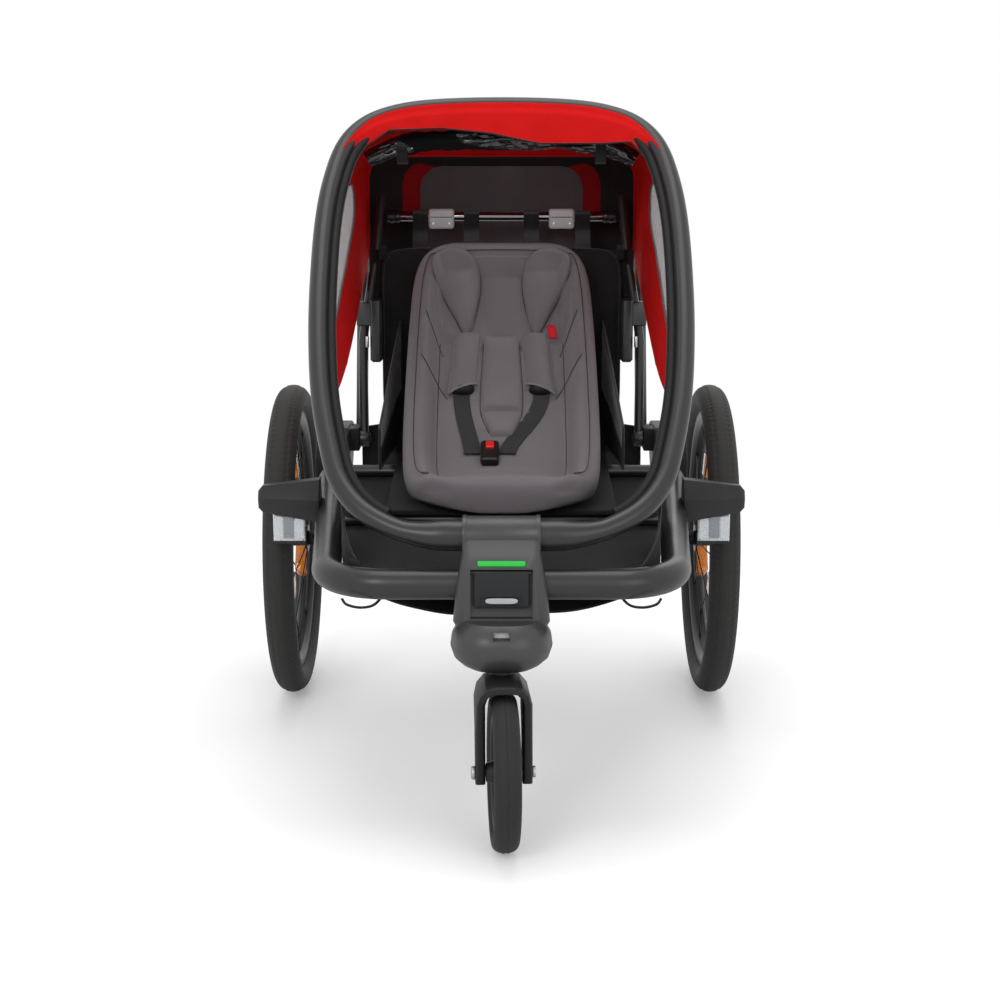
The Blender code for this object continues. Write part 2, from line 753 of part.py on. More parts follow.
def build_caster_fork():
    """An arched crown with two legs, joined to the stem that turns in the hub."""
    crown_z = 2 * CASTER_WHEEL_R + FORK_CROWN_GAP + FORK_LEG_THICK / 2
    crown_y = (STEM_Y - WHEELBASE) / 2 - 0.004
    reach = FORK_LEG_INNER + FORK_LEG_THICK / 2
    foot_z = CASTER_WHEEL_R - 0.013
    knee_z = CASTER_WHEEL_R + FORK_KNEE_RISE
    half = [(reach, -WHEELBASE, foot_z, 0.020), (reach, -WHEELBASE, foot_z + 0.006, 0.026),
            (reach, -WHEELBASE + 0.002, CASTER_WHEEL_R + 0.012, 0.030),
            (reach, -WHEELBASE + 0.008, knee_z, 0.036), (reach, crown_y, crown_z - 0.022, 0.060),
            (reach - 0.003, crown_y, crown_z - 0.010, 0.074), (reach - 0.010, crown_y, crown_z - 0.002, 0.080),
            (0.010, crown_y, crown_z, 0.082)]
    stations = half + [(-x, y, z, depth) for x, y, z, depth in reversed(half)]
    rings = []
    for i, (x, y, z, depth) in enumerate(stations):
        before = stations[max(i - 1, 0)]
        after = stations[min(i + 1, len(stations) - 1)]
        along = Vector((after[0] - before[0], 0, after[2] - before[2])).normalized()
        across = Vector((-along.z, 0, along.x)) * FORK_LEG_THICK / 2
        centre = at(x, y, z)
        forward = Vector((0, depth / 2, 0))
        ring = [centre - forward - across * 0.6, centre - forward * 0.8 - across,
                centre + forward * 0.8 - across, centre + forward - across * 0.6,
                centre + forward + across * 0.6, centre + forward * 0.8 + across,
                centre - forward * 0.8 + across, centre - forward + across * 0.6]
        rings.append([caster_turn(point) for point in ring])
    fork = loft("caster_fork", rings, BLACK, roughness=0.4)
    stem_foot = at(0, STEM_Y, crown_z)
    collar_top = BULB_BOTTOM_Z - FIT - crown_z
    pin_top = STEM_PIN_TOP - crown_z
    stem = [(0.0, 0.0), (0.0, STEM_COLLAR_R), (collar_top, STEM_COLLAR_R),
            (collar_top, STEM_PIN_R), (pin_top, STEM_PIN_R), (pin_top, 0.0)]
    combine(fork, turned("stem_guide", stem, stem_foot, Vector((0, 0, 1)), 24, BLACK), "UNION")
    reach_out = caster_axis() * (reach + FORK_LEG_THICK)
    axle = caster_axle_point()
    combine(fork, rod("fork_bore", axle - reach_out, axle + reach_out, CASTER_PIN_R + FIT, BLACK, 16))
    outer = reach + FORK_LEG_THICK / 2 + FIT
    pin_profile = [(-outer - 0.005, 0.0), (-outer - 0.005, 0.007), (-outer - 0.004, 0.0085),
                   (-outer, 0.0085), (-outer, CASTER_PIN_R), (outer, CASTER_PIN_R),
                   (outer, 0.0075), (outer + 0.004, 0.0075), (outer + 0.004, 0.0)]
    pin = turned("caster_axle", pin_profile, axle, caster_axis(), 16, SILVER,
                 roughness=0.3, metallic=1.0)
    carry(pivot("caster_swivel", at(0, STEM_Y, crown_z)), fork, pin)


def build_caster_wheel():
    half = CASTER_TYRE_WIDTH / 2
    mid = (CASTER_WHEEL_R + CASTER_RIM_R) / 2
    tyre_profile = [(-half + 0.002, CASTER_RIM_R + FIT), (half - 0.002, CASTER_RIM_R + FIT),
                    (half, mid), (half - 0.002, CASTER_WHEEL_R - 0.006),
                    (half - 0.007, CASTER_WHEEL_R - 0.0015), (0.004, CASTER_WHEEL_R),
                    (-0.004, CASTER_WHEEL_R), (-half + 0.007, CASTER_WHEEL_R - 0.0015),
                    (-half + 0.002, CASTER_WHEEL_R - 0.006), (-half, mid)]
    tyre = turned("caster_tyre", tyre_profile, caster_axle_point(), caster_axis(), CASTER_SIDES,
                  BLACK, roughness=0.8, sharp=60)
    hub_half = FORK_LEG_INNER - 0.001
    rim_profile = [(-hub_half, CASTER_PIN_R + RUNNING), (hub_half, CASTER_PIN_R + RUNNING),
                   (hub_half, 0.012), (0.010, 0.016), (0.005, 0.024), (0.005, 0.062),
                   (half - 0.004, 0.068), (half - 0.004, CASTER_RIM_R), (-half + 0.004, CASTER_RIM_R),
                   (-half + 0.004, 0.068), (-0.005, 0.062), (-0.005, 0.024), (-0.010, 0.016),
                   (-hub_half, 0.012)]
    rim = turned("caster_rim", rim_profile, caster_axle_point(), caster_axis(), CASTER_SIDES,
                 BLACK, roughness=0.45)
    carry(pivot("caster_spin", caster_axle_point()), tyre, rim)


# Rear wheels

def grow_spoke(bm, face, tip, root_scale):
    """Draw one spoke out of a flange face as far as the rim."""
    corners = list(face.verts)
    centre = face.calc_center_median()
    root = []
    for vert in corners:
        offset = vert.co - centre
        offset = Vector((offset.x * 0.8, offset.y * root_scale, offset.z * root_scale))
        root.append(bm.verts.new(centre + offset))
    end = [bm.verts.new(vert.co - centre + tip) for vert in root]
    count = len(corners)
    for i in range(count):
        j = (i + 1) % count
        bm.faces.new((corners[i], corners[j], root[j], root[i]))
        bm.faces.new((root[i], root[j], end[j], end[i]))
    bm.faces.new(end)
    bmesh.ops.delete(bm, geom=[face], context="FACES_ONLY")


def rim_inner_radius():
    return REAR_WHEEL_R - TYRE_HEIGHT - RIM_DEPTH


def build_wheel_hub(name, side):
    """Hub shell and spokes, which are laced from both flanges to the rim."""
    sides = 2 * SPOKES_PER_SIDE
    right = [(FLANGE_AT + FLANGE_HALF, HUB_BARREL_R), (FLANGE_AT + FLANGE_HALF, HUB_FLANGE_R),
             (FLANGE_AT - FLANGE_HALF, HUB_FLANGE_R), (FLANGE_AT - FLANGE_HALF, HUB_BARREL_R)]
    left = [(-along, radius) for along, radius in reversed(right)]
    outer = [(-HUB_HALF, HUB_BORE_R), (HUB_HALF, HUB_BORE_R), (HUB_HALF, HUB_END_R),
             *right, *left, (-HUB_HALF, HUB_END_R)]
    bm = bmesh.new()
    rows = []
    for along, radius in outer:
        row = []
        for i in range(sides):
            angle = math.pi / sides + 2 * math.pi * i / sides
            row.append(bm.verts.new(Vector((along, radius * math.cos(angle), radius * math.sin(angle)))))
        rows.append(row)
    flange_faces = []
    for near, far in zip(rows, rows[1:] + rows[:1]):
        for i in range(sides):
            j = (i + 1) % sides
            face = bm.faces.new((near[i], near[j], far[j], far[i]))
            corners = [math.hypot(v.co.y, v.co.z) for v in face.verts]
            if min(corners) > HUB_FLANGE_R - 0.0001:
                flange_faces.append((i, face))
    tip_r = rim_inner_radius() + 0.002
    for i, face in flange_faces:
        direction = 1 if face.calc_center_median().x > 0 else -1
        if (i % 2 == 0) != (direction > 0):
            continue
        angle = math.atan2(face.calc_center_median().z, face.calc_center_median().y)
        tip = Vector((direction * 0.003, tip_r * math.cos(angle), tip_r * math.sin(angle)))
        grow_spoke(bm, face, tip, 0.28)
    hub = finish(name, bm, BLACK, roughness=0.4, metallic=0.6)
    hub.data.transform(Matrix.Translation(at(side * WHEEL_X, 0, REAR_WHEEL_R)))
    return hub


def spoke_offset(radius):
    """Distance of a spoke's inner face from the wheel's middle plane."""
    run = (radius - HUB_FLANGE_R) / (rim_inner_radius() - HUB_FLANGE_R)
    return lerp(FLANGE_AT, 0.003, run) - SPOKE_HALF - FIT


def build_spoke_reflector(name, side, angle):
    """An orange wedge clipped between the two rows of spokes."""
    outward = Vector((0, math.cos(angle), math.sin(angle)))
    tangent = Vector((0, -math.sin(angle), math.cos(angle)))
    centre = at(side * WHEEL_X, 0, REAR_WHEEL_R)
    rings = []
    for radius in REFLECTOR_RADII:
        half = spoke_offset(radius) - FIT
        middle = centre + outward * radius
        rings.append([middle + tangent * (REFLECTOR_HALF_SPAN * a) + Vector((half * b, 0, 0))
                      for a, b in ((-1, -0.8), (-0.9, -1), (0.9, -1), (1, -0.8),
                                   (1, 0.8), (0.9, 1), (-0.9, 1), (-1, 0.8))])
    return loft(name, rings, (0.85, 0.22, 0.02), roughness=0.2)


def build_rear_wheel(side_name, side):
    centre = at(side * WHEEL_X, 0, REAR_WHEEL_R)
    axis = Vector((1, 0, 0))
    bead_r = REAR_WHEEL_R - TYRE_HEIGHT
    half = TYRE_WIDTH / 2
    tyre_profile = [(-RIM_WIDTH / 2, bead_r + FIT), (RIM_WIDTH / 2, bead_r + FIT)]
    for step in range(1, 8):
        angle = math.radians(-58 + step * 37)
        tyre_profile.append((half * math.cos(angle),
                             bead_r + TYRE_HEIGHT * (0.5 + 0.5 * math.sin(angle))))
    tyre = turned(side_name + "_tyre", tyre_profile, centre, axis, WHEEL_SIDES, BLACK,
                  roughness=0.85, sharp=60)
    low = rim_inner_radius()
    rim_half = RIM_WIDTH / 2 - 0.0005
    rim_profile = [(-rim_half, bead_r), (-rim_half, bead_r - 0.009), (-0.006, low), (0.006, low),
                   (rim_half, bead_r - 0.009), (rim_half, bead_r)]
    rim = turned(side_name + "_wheel", rim_profile, centre, axis, WHEEL_SIDES, BLACK,
                 roughness=0.35, metallic=0.7)
    combine(rim, build_wheel_hub("wheel_hub_guide", side), "UNION")
    reflector = build_spoke_reflector(side_name + "_spoke_reflector", side, REFLECTOR_TURNS[side_name])
    carry(pivot(side_name + "_wheel_spin", centre), tyre, rim, reflector)


def axle_profile():
    """Quick-release axle, whose outer end holds a push button."""
    cap = WHEEL_X + HUB_HALF + RUNNING
    return [(MOUNT_INNER + 0.010, 0.0), (MOUNT_INNER + 0.010, AXLE_R), (cap, AXLE_R),
            (cap, AXLE_CAP_R - 0.001), (cap + 0.001, AXLE_CAP_R),
            (cap + AXLE_CAP_LENGTH - 0.001, AXLE_CAP_R), (cap + AXLE_CAP_LENGTH, AXLE_CAP_R - 0.001),
            (cap + AXLE_CAP_LENGTH, BUTTON_R + FIT), (cap - 0.004, BUTTON_R + FIT), (cap - 0.004, 0.0)]


def build_axle_button(side_name, side):
    cap = WHEEL_X + HUB_HALF + RUNNING
    start = cap - 0.004 + BUTTON_TRAVEL + FIT
    end = cap + AXLE_CAP_LENGTH + BUTTON_TRAVEL + 0.0005
    profile = [(start, 0.0), (start, BUTTON_R), (end - 0.0008, BUTTON_R), (end, BUTTON_R - 0.0012), (end, 0.0)]
    button = turned(side_name + "_axle_button", profile, at(0, 0, REAR_WHEEL_R), Vector((side, 0, 0)), 20,
                    (0.35, 0.35, 0.36), roughness=0.4)
    carry(pivot(side_name + "_axle_slide", at(side * end, 0, REAR_WHEEL_R)), button)


def bolt_profile(inner):
    """A pivot bolt whose head lies on the inside of the knuckle that it holds."""
    foot = MOUNT_INNER + 0.010
    return [(inner - BOLT_HEAD_THICK, 0.0), (inner - BOLT_HEAD_THICK, BOLT_HEAD_R - 0.001),
            (inner - BOLT_HEAD_THICK + 0.001, BOLT_HEAD_R), (inner, BOLT_HEAD_R), (inner, BOLT_R),
            (foot, BOLT_R), (foot, 0.0)]


def build_wheel_mount(side_name, side):
    """Casting that joins the bumper, the cross tube, the axle and the two fold pivots."""
    foot_z = POST_FOOT_Z
    top = foot_z + 0.020
    outline = [(MOUNT_FRONT, BUMPER_REAR_Z - 0.026), (MOUNT_FRONT, BUMPER_REAR_Z + 0.026),
               (POST_Y - LUG_HALF_Y - 0.004, top), (HANDLE_Y + 0.012, top), (HANDLE_Y + 0.020, foot_z + 0.010),
               (HANDLE_Y + 0.018, foot_z - 0.018), (0.045, 0.330), (0.030, REAR_WHEEL_R),
               (0.022, REAR_WHEEL_R - 0.024), (0.0, REAR_WHEEL_R - 0.030),
               (-0.022, REAR_WHEEL_R - 0.024), (-0.030, REAR_WHEEL_R)]
    low, high = sorted((side * MOUNT_INNER, side * MOUNT_OUTER))
    mount = plate(side_name + "_wheel_mount", outline, low, high, DARK_GREY, roughness=0.5)
    round_edges(mount, 0.003)
    lug_inner = POST_X + KNUCKLE_WIDTH / 2 + FIT
    lug_x = sorted((side * lug_inner, side * (MOUNT_INNER + 0.004)))
    combine(mount, block("lug_guide", (lug_x[0], POST_Y - LUG_HALF_Y, foot_z - 0.018),
                         (lug_x[1], POST_Y + LUG_HALF_Y, foot_z + 0.018), BLACK), "UNION")
    outward = Vector((side, 0, 0))
    fold_bolt = bolt_profile(POST_X - KNUCKLE_WIDTH / 2 - FIT)
    combine(mount, turned("fold_bolt", fold_bolt, at(0, POST_Y, foot_z), outward, 14, SILVER), "UNION")
    handle_bolt = bolt_profile(HANDLE_KNUCKLE_INNER - FIT)
    combine(mount, turned("handle_bolt", handle_bolt, at(0, HANDLE_Y, HANDLE_FOOT_Z), outward, 14, SILVER), "UNION")
    combine(mount, turned("axle", axle_profile(), at(0, 0, REAR_WHEEL_R), outward, 16, SILVER), "UNION")


def build_rear_frame():
    half = MOUNT_INNER - FIT
    rod("rear_cross_tube", at(-half, 0, REAR_WHEEL_R), at(half, 0, REAR_WHEEL_R), CROSS_TUBE_R,
        DARK_GREY, 24, roughness=0.45)
    for side_name, side in (("left", -1), ("right", 1)):
        build_wheel_mount(side_name, side)
        build_axle_button(side_name, side)
        build_rear_wheel(side_name, side)


# Bumper arms in front of the rear wheels

def arm_underside(x):
    run = (x - ARM_ROOT_X) / (ARM_TIP_X - ARM_ROOT_X)
    return lerp(ARM_ROOT_Z[0], ARM_TIP_Z[0], run)


def build_bumper_arm(side_name, side):
    rings = []
    for run in (0.0, 0.25, 0.5, 0.75, 0.93, 1.0):
        x = lerp(ARM_ROOT_X, ARM_TIP_X, run)
        low = arm_underside(x)
        high = lerp(ARM_ROOT_Z[1], ARM_TIP_Z[1], run)
        half = lerp(ARM_ROOT_HALF_Y, ARM_TIP_HALF_Y, run)
        if run == 1.0:
            low, high, half = low + 0.005, high - 0.007, half * 0.7
        mid = lerp(low, high, 0.55)
        rings.append([at(side * x, ARM_Y + half * a, z)
                      for a, z in ((-0.6, low), (0.6, low), (1.0, mid), (0.55, high), (-0.45, high), (-1.0, mid))])
    arm = loft(side_name + "_bumper_arm", rings, DARK_GREY, roughness=0.5, sharp=25)
    plate_low = ARM_Y + ARM_TIP_HALF_Y * 0.2
    holder = []
    for y in (plate_low, plate_low + ARM_PLATE_THICK):
        holder.append([at(side * LENS_X[0], y, LENS_BOTTOM), at(side * LENS_X[1], y, LENS_BOTTOM),
                       at(side * LENS_X[1], y, arm_underside(LENS_X[1]) + 0.006),
                       at(side * LENS_X[0], y, arm_underside(LENS_X[0]) + 0.006)])
    combine(arm, loft("plate_guide", holder, BLACK), "UNION")
    combine(arm, bumper_tool(FIT))
    lens = []
    for y, edge in ((plate_low - LENS_THICK, 0.003), (plate_low - 0.003, 0.0), (plate_low - FIT, 0.0)):
        lens.append([at(side * (LENS_X[0] + edge), y, LENS_BOTTOM + edge),
                     at(side * (LENS_X[1] - edge), y, LENS_BOTTOM + edge),
                     at(side * (LENS_X[1] - edge), y, arm_underside(LENS_X[1]) - FIT - edge),
                     at(side * (LENS_X[0] + edge), y, arm_underside(LENS_X[0]) - FIT - edge)])
    loft(side_name + "_arm_reflector", lens, (0.80, 0.80, 0.82), roughness=0.15)


# Floor and fabric of the base

def inner_half(y, extra=0.0):
    """Half width free between the bumper's side tubes."""
    clear = BUMPER_R + FIT + extra
    depth = BUMPER_FRONT_Y + BUMPER_CORNER_R - y
    if depth > 0:
        reach = math.sqrt(max((BUMPER_CORNER_R - clear) ** 2 - depth ** 2, 0.0))
        return BUMPER_FRONT_HALF - BUMPER_CORNER_R + reach
    return bumper_half(y) - clear


def build_floor_pan():
    rows = 12
    points = []
    for i in range(rows + 1):
        y = lerp(PAN_FRONT_Y, PAN_REAR_Y, i / rows)
        points.append([at(inner_half(y, 0.001) * q, y, bumper_height(y)) for q in (-1, -0.5, 0, 0.5, 1)])
    sheet("floor_pan", points, lambda i, j: True, PAN_THICK, BLACK, roughness=0.9)


def build_belly():
    """The foot well, a fabric trough hung under the floor."""
    def place(s, q, drop):
        y = lerp(PAN_FRONT_Y, BELLY_REAR_Y, s)
        half = min(BELLY_HALF, inner_half(y, 0.002))
        return at(half * q, y, bumper_height(y) - PAN_THICK / 2 - drop)

    def front(s, q):
        return place(s, q, FIT)

    def back(s, q):
        sag = (1 - abs(q) ** 1.6) * math.sin(math.pi * lerp(0.42, 1.0, s)) ** 0.6
        return place(s, q, BELLY_THICK + BELLY_DROP * sag)

    cushion("belly_fabric", front, back, 5, 12, BLACK, roughness=0.9)


def panel_top(y):
    """The panel follows the hoop down to the hub and falls away to the rear."""
    hoop_z = HOOP_PIVOT_Z + (y - HOOP_PIVOT_Y) * math.tan(HOOP_LEAN)
    run = (y - PANEL_REAR_Y) / (PANEL_PEAK_Y - PANEL_REAR_Y)
    rear = lerp(bumper_height(y) + PANEL_REAR_RISE, PANEL_TOP_Z, min(max(run, 0.0), 1.0))
    return min(hoop_z - PANEL_UNDER_HOOP, rear)


def build_front_panel():
    """Fabric walls that stand on the bumper and close the space up to the hoop."""
    line = bumper_path()
    rows = []
    for before, point, after in zip(line, line[1:], line[2:]):
        y = point.y - AXLE_Y
        if y > PANEL_REAR_Y:
            continue
        along = after - before
        inward = Vector((-along.y, along.x, 0)).normalized() * (BUMPER_R + PANEL_INSET)
        foot = PANEL_FOOT_REAR if y > SEAT_TUBE_YS[0] - PANEL_TUBE_CLEAR else PANEL_FOOT
        rows.append([Vector((point.x, point.y, lerp(point.z + foot, panel_top(y), h / 2))) + inward
                     for h in range(3)])
    hub_clear = HUB_SLEEVE_HALF + 0.016
    for side_name, side in (("left", -1), ("right", 1)):
        kept = [row for row in rows if side * row[0].x > hub_clear]
        sheet(side_name + "_front_panel", kept, lambda i, j: True, PANEL_THICK, BLACK,
              flat_cells=True, roughness=0.9)


def seat_tube_height(y):
    return bumper_height(y) + SEAT_TUBE_DROP


def build_seat_base():
    for name, y in zip(("front_seat_tube", "rear_seat_tube"), SEAT_TUBE_YS):
        half = inner_half(y)
        z = seat_tube_height(y)
        rod(name, at(-half, y, z), at(half, y, z), SEAT_TUBE_R, DARK_GREY, 16)
    rings = []
    for y in (SEAT_TUBE_YS[0] - 0.020, SEAT_TUBE_YS[1] + 0.020):
        slope = (seat_tube_height(SEAT_TUBE_YS[1]) - seat_tube_height(SEAT_TUBE_YS[0])) / (
            SEAT_TUBE_YS[1] - SEAT_TUBE_YS[0])
        low = seat_tube_height(SEAT_TUBE_YS[0]) + slope * (y - SEAT_TUBE_YS[0]) + SEAT_TUBE_R + 2 * FIT
        rings.append([at(x, y, z) for x, z in ((-SEAT_BOARD_HALF, low), (SEAT_BOARD_HALF, low),
                                               (SEAT_BOARD_HALF, low + SEAT_BOARD_THICK),
                                               (-SEAT_BOARD_HALF, low + SEAT_BOARD_THICK))])
    loft("seat_base", rings, BLACK, roughness=0.9)


# Hoop and what hangs on it

def build_hoop():
    _, back = hoop_axes()
    ring = hoop_path()
    hoop = sweep("main_hoop", ring, round_section(HOOP_R, 12), DARK_GREY, back, closed=True, roughness=0.4)
    seal = sweep("hoop_seal", hoop_path(inset=HOOP_R + SEAL_R - SEAL_SINK), round_section(SEAL_R, 5),
                 BLACK, back, roughness=0.7)
    pieces = [hoop, seal]
    foot = at(0, HOOP_PIVOT_Y, HOOP_PIVOT_Z)
    pieces += build_canopy()
    carry(pivot("hoop_hinge", foot), *pieces)


def canopy_grid():
    """Rows run over the arch from right to left, columns from the hoop to the rear."""
    up, _ = hoop_axes()
    foot = at(0, HOOP_PIVOT_Y, HOOP_PIVOT_Z)
    front = hoop_path(steps=2, inset=CANOPY_INSET, back=CANOPY_BACK)
    front = [p for p in front if (p - foot).dot(up) > CANOPY_START]
    outer = rear_arch(len(front), CANOPY_REAR_HALF, CANOPY_REAR_TOP)
    inner = rear_arch(len(front), FLAP_HALF + FLAP_GAP, FLAP_TOP + FLAP_GAP)
    points = []
    for edge, rear, rim in zip(front, outer, inner):
        row = []
        for j in range(7):
            share = j / 6
            point = edge.lerp(rear, share)
            outward = Vector((point.x, 0, max(point.z - CANOPY_BULGE_FROM, 0.0))).normalized()
            row.append(point + outward * math.sin(math.pi * share) * CANOPY_BULGE)
        row.append(rear.lerp(rim, CANOPY_RIM_SHARE) + Vector((0, CANOPY_BACK_STEP, 0)))
        row.append(rim + Vector((0, CANOPY_BACK_STEP, 0)))
        points.append(row)
    return points


def rear_arch(count, half, top):
    """Points from right to left round the rear arch, a rectangle with two round corners."""
    per_side = count // 2
    corner = min(REAR_CORNER_R, half / 2)
    upright = (per_side - 3) // 2 + 1
    across = per_side - 3 - upright
    right = [(half, lerp(CANOPY_REAR_BOTTOM, top - corner, i / (upright - 1))) for i in range(upright)]
    for step in (1, 2, 3):
        turn = math.radians(step * 30)
        right.append((half - corner * (1 - math.cos(turn)), top - corner * (1 - math.sin(turn))))
    right += [((half - corner) * (1 - (i + 1) / (across + 1)), top) for i in range(across)]
    ring = right + [(0.0, top)] * (count % 2) + [(-x, z) for x, z in reversed(right)]
    return [at(x, CANOPY_REAR_Y, z) for x, z in ring]


def window_cell(rows, i, j):
    """The clear side windows cover part of each flank, just behind the hoop."""
    edge = min(i, rows - 2 - i)
    return 1 <= edge <= 5 and 1 <= j <= 3


def build_canopy():
    points = canopy_grid()
    rows = len(points)
    half = rows / 2
    canopy = sheet("canopy", points, lambda i, j: not window_cell(rows, i, j), CANOPY_THICK, RED,
                   roughness=0.9)
    pieces = [canopy]
    for side_name, side in (("left", -1), ("right", 1)):
        def keep(i, j, side=side):
            return window_cell(rows, i, j) and (points[i][j].x * side > 0)
        pieces.append(sheet(side_name + "_window", points, keep, CANOPY_THICK * 0.5, (0.62, 0.58, 0.58),
                            shrink=0.0008, roughness=0.15))
    pieces.append(build_rear_flap())
    pieces.append(build_rolled_cover())
    return pieces


def build_rear_flap():
    """Fabric in the rear opening, its rows at the heights of the arch's own points."""
    rim = rear_arch(REAR_FLAP_POINTS, FLAP_HALF, FLAP_TOP)
    right = [p for p in rim if p.x > 0.5 * (FLAP_HALF - REAR_CORNER_R)]
    levels = []
    for p in right:
        if not levels or p.z > levels[-1].z + 0.001:
            levels.append(p)
    points = []
    for level in levels:
        run = (level.z - CANOPY_REAR_BOTTOM) / (FLAP_TOP - CANOPY_REAR_BOTTOM)
        row = []
        for j in range(9):
            q = -1 + j / 4
            sag = FLAP_SAG * (1 - q * q) * math.sin(math.pi * (0.15 + 0.7 * run))
            row.append(Vector((level.x * q, level.y + CANOPY_BACK_STEP + sag, level.z)))
        points.append(row)
    return sheet("rear_flap", points, lambda i, j: True, FLAP_THICK, FLAP_GREY, roughness=0.9)


def build_rolled_cover():
    """The front cover, rolled up and strapped under the roof."""
    path = []
    for step in range(15):
        q = -1 + step / 7
        path.append(at(ROLL_HALF * q, ROLL_Y, ROLL_Z - ROLL_DROOP * abs(q) ** 3))
    rings = []
    for i, point in enumerate(path):
        swell = ROLL_R * (0.86 + 0.10 * math.sin(i * 1.9) * math.sin(i * 0.7))
        rings.append([point + Vector((0, a * swell * 0.95, b * swell)) for a, b in round_section(1.0, 10)])
    return loft("rolled_cover", rings, BLACK, roughness=0.7, sharp=60)


# Upright: the frame behind the seat, which swings forward when the trailer folds

def post_path(side):
    knots = [(POST_X, POST_Y, POST_FOOT_Z), (POST_X, POST_Y, 0.480), (POST_X, POST_Y, 0.570),
             (0.214, 0.037, 0.635), (0.203, 0.060, 0.702),
             (POST_TOP_X + 0.0025, BAR_Y, BAR_Z), (POST_TOP_X, POST_TOP_Y, POST_TOP_Z)]
    return spline([at(side * x, y, z) for x, y, z in knots], 2)


def build_post(side_name, side):
    post = sweep(side_name + "_seat_post", post_path(side), round_section(POST_R, 10), DARK_GREY,
                 Vector((1, 0, 0)), roughness=0.4)
    inner = POST_X - KNUCKLE_WIDTH / 2
    outer = POST_X + KNUCKLE_WIDTH / 2
    outward = Vector((side, 0, 0))
    foot = at(0, POST_Y, POST_FOOT_Z)
    combine(post, rod("knuckle_guide", foot + outward * inner, foot + outward * outer, KNUCKLE_R, BLACK, 16), "UNION")
    combine(post, rod("knuckle_bore", foot + outward * (inner - 0.01), foot + outward * (outer + 0.01),
                      BOLT_R + FIT, BLACK, 20))
    low, high = sorted((side * HUB_PAD_X[0], side * HUB_PAD_X[1]))
    pad = block("hub_pad_guide", (low, POST_Y - HUB_PAD_HALF_Y, HUB_PAD_Z[0]),
                (high, POST_Y + HUB_PAD_HALF_Y, HUB_PAD_Z[1]), DARK_GREY)
    combine(post, round_edges(pad, 0.004), "UNION")
    low, high = sorted((side * (HUB_PAD_X[1] - 0.006), side * (POST_X + POST_R + 0.002)))
    clamp = block("pad_clamp_guide", (low, POST_Y - 0.0115, HUB_CLAMP_BOTTOM),
                  (high, POST_Y + 0.0115, HUB_PAD_Z[1] - 0.006), BLACK)
    combine(post, round_edges(clamp, 0.002), "UNION")
    return [post]


def build_harness_bar():
    centre = at(0, BAR_Y, BAR_Z)
    end = POST_TOP_X + 0.0025 - POST_R - 0.0012
    right = [(BAR_HALF, BAR_R), (BAR_HALF, BAR_KNOB_R - 0.002), (BAR_HALF + 0.002, BAR_KNOB_R),
             (end - 0.002, BAR_KNOB_R), (end, BAR_KNOB_R - 0.002), (end, 0.0)]
    profile = [(-along, radius) for along, radius in reversed(right)] + right
    pieces = [turned("harness_bar", profile, centre, Vector((1, 0, 0)), 16, DARK_GREY,
                     roughness=0.2, metallic=1.0)]
    for side_name, side in (("left", -1), ("right", 1)):
        middle = side * CLAMP_X
        clamp = block(side_name + "_bar_clamp", (middle - CLAMP_HALF, BAR_Y - 0.0125, BAR_Z - 0.019),
                      (middle + CLAMP_HALF, BAR_Y + 0.0125, BAR_Z + 0.0125), (0.42, 0.42, 0.43))
        round_edges(clamp, 0.003)
        wide = Vector((CLAMP_HALF + 0.01, 0, 0))
        bore_centre = at(middle, BAR_Y, BAR_Z)
        combine(clamp, rod("clamp_bore", bore_centre - wide, bore_centre + wide, BAR_R + FIT * 1.5, BLACK, 24))
        pieces.append(clamp)
        pieces.append(build_shoulder_belt(side_name + "_shoulder_belt", side))
    return pieces


def build_shoulder_belt(name, side):
    """One belt whose two ends loop over the harness bar and run down behind the seat back."""
    hug = BAR_R + STRAP_THICK / 2 + FIT * 1.5
    behind = SEAT_BACK_Y + SEAT_BACK_THICK + STRAP_THICK / 2 + FIT * 2
    ends = []
    for x in STRAP_XS:
        path = [at(side * x, BAR_Y + hug, BAR_Z - 0.016)]
        for step in range(7):
            turn = math.radians(180 * step / 6)
            path.append(at(side * x, BAR_Y + hug * math.cos(turn), BAR_Z + hug * math.sin(turn)))
        knots = [path[-1], at(side * x, BAR_Y - hug - 0.001, BAR_Z - 0.020),
                 at(side * x, behind + 0.006, SEAT_BACK_Z[1] + 0.004),
                 at(side * x, behind, SEAT_BACK_Z[1] - 0.018), at(side * x, behind, STRAP_END_Z)]
        path += spline(knots, 3)[1:]
        ends.append(sweep(name, path, flat_section(STRAP_WIDTH, STRAP_THICK), BLACK, Vector((1, 0, 0)),
                          roughness=0.8))
    low, high = sorted(side * x for x in STRAP_XS)
    belt, second = ends
    second.name = "belt_end_guide"
    link = block("belt_link_guide", (low - STRAP_WIDTH / 2, behind - STRAP_THICK / 2 - FIT, STRAP_END_Z - 0.004),
                 (high + STRAP_WIDTH / 2, behind + STRAP_THICK / 2 + FIT, STRAP_END_Z + STRAP_WIDTH - 0.004), BLACK)
    combine(belt, link, "UNION")
    combine(belt, second, "UNION")
    belt.name = name
    return belt


def build_upright():
    pieces = []
    for side_name, side in (("left", -1), ("right", 1)):
        pieces += build_post(side_name, side)
    pieces += build_harness_bar()
    half = HUB_PAD_X[0] - FIT
    seat_back = block("seat_back", (-half, SEAT_BACK_Y, SEAT_BACK_Z[0]),
                      (half, SEAT_BACK_Y + SEAT_BACK_THICK, SEAT_BACK_Z[1]), BLACK, roughness=0.9)
    round_edges(seat_back, 0.004)
    pieces.append(seat_back)
    carry(pivot("upright_hinge", at(0, POST_Y, POST_FOOT_Z)), *pieces)


# Push handle and parking brake

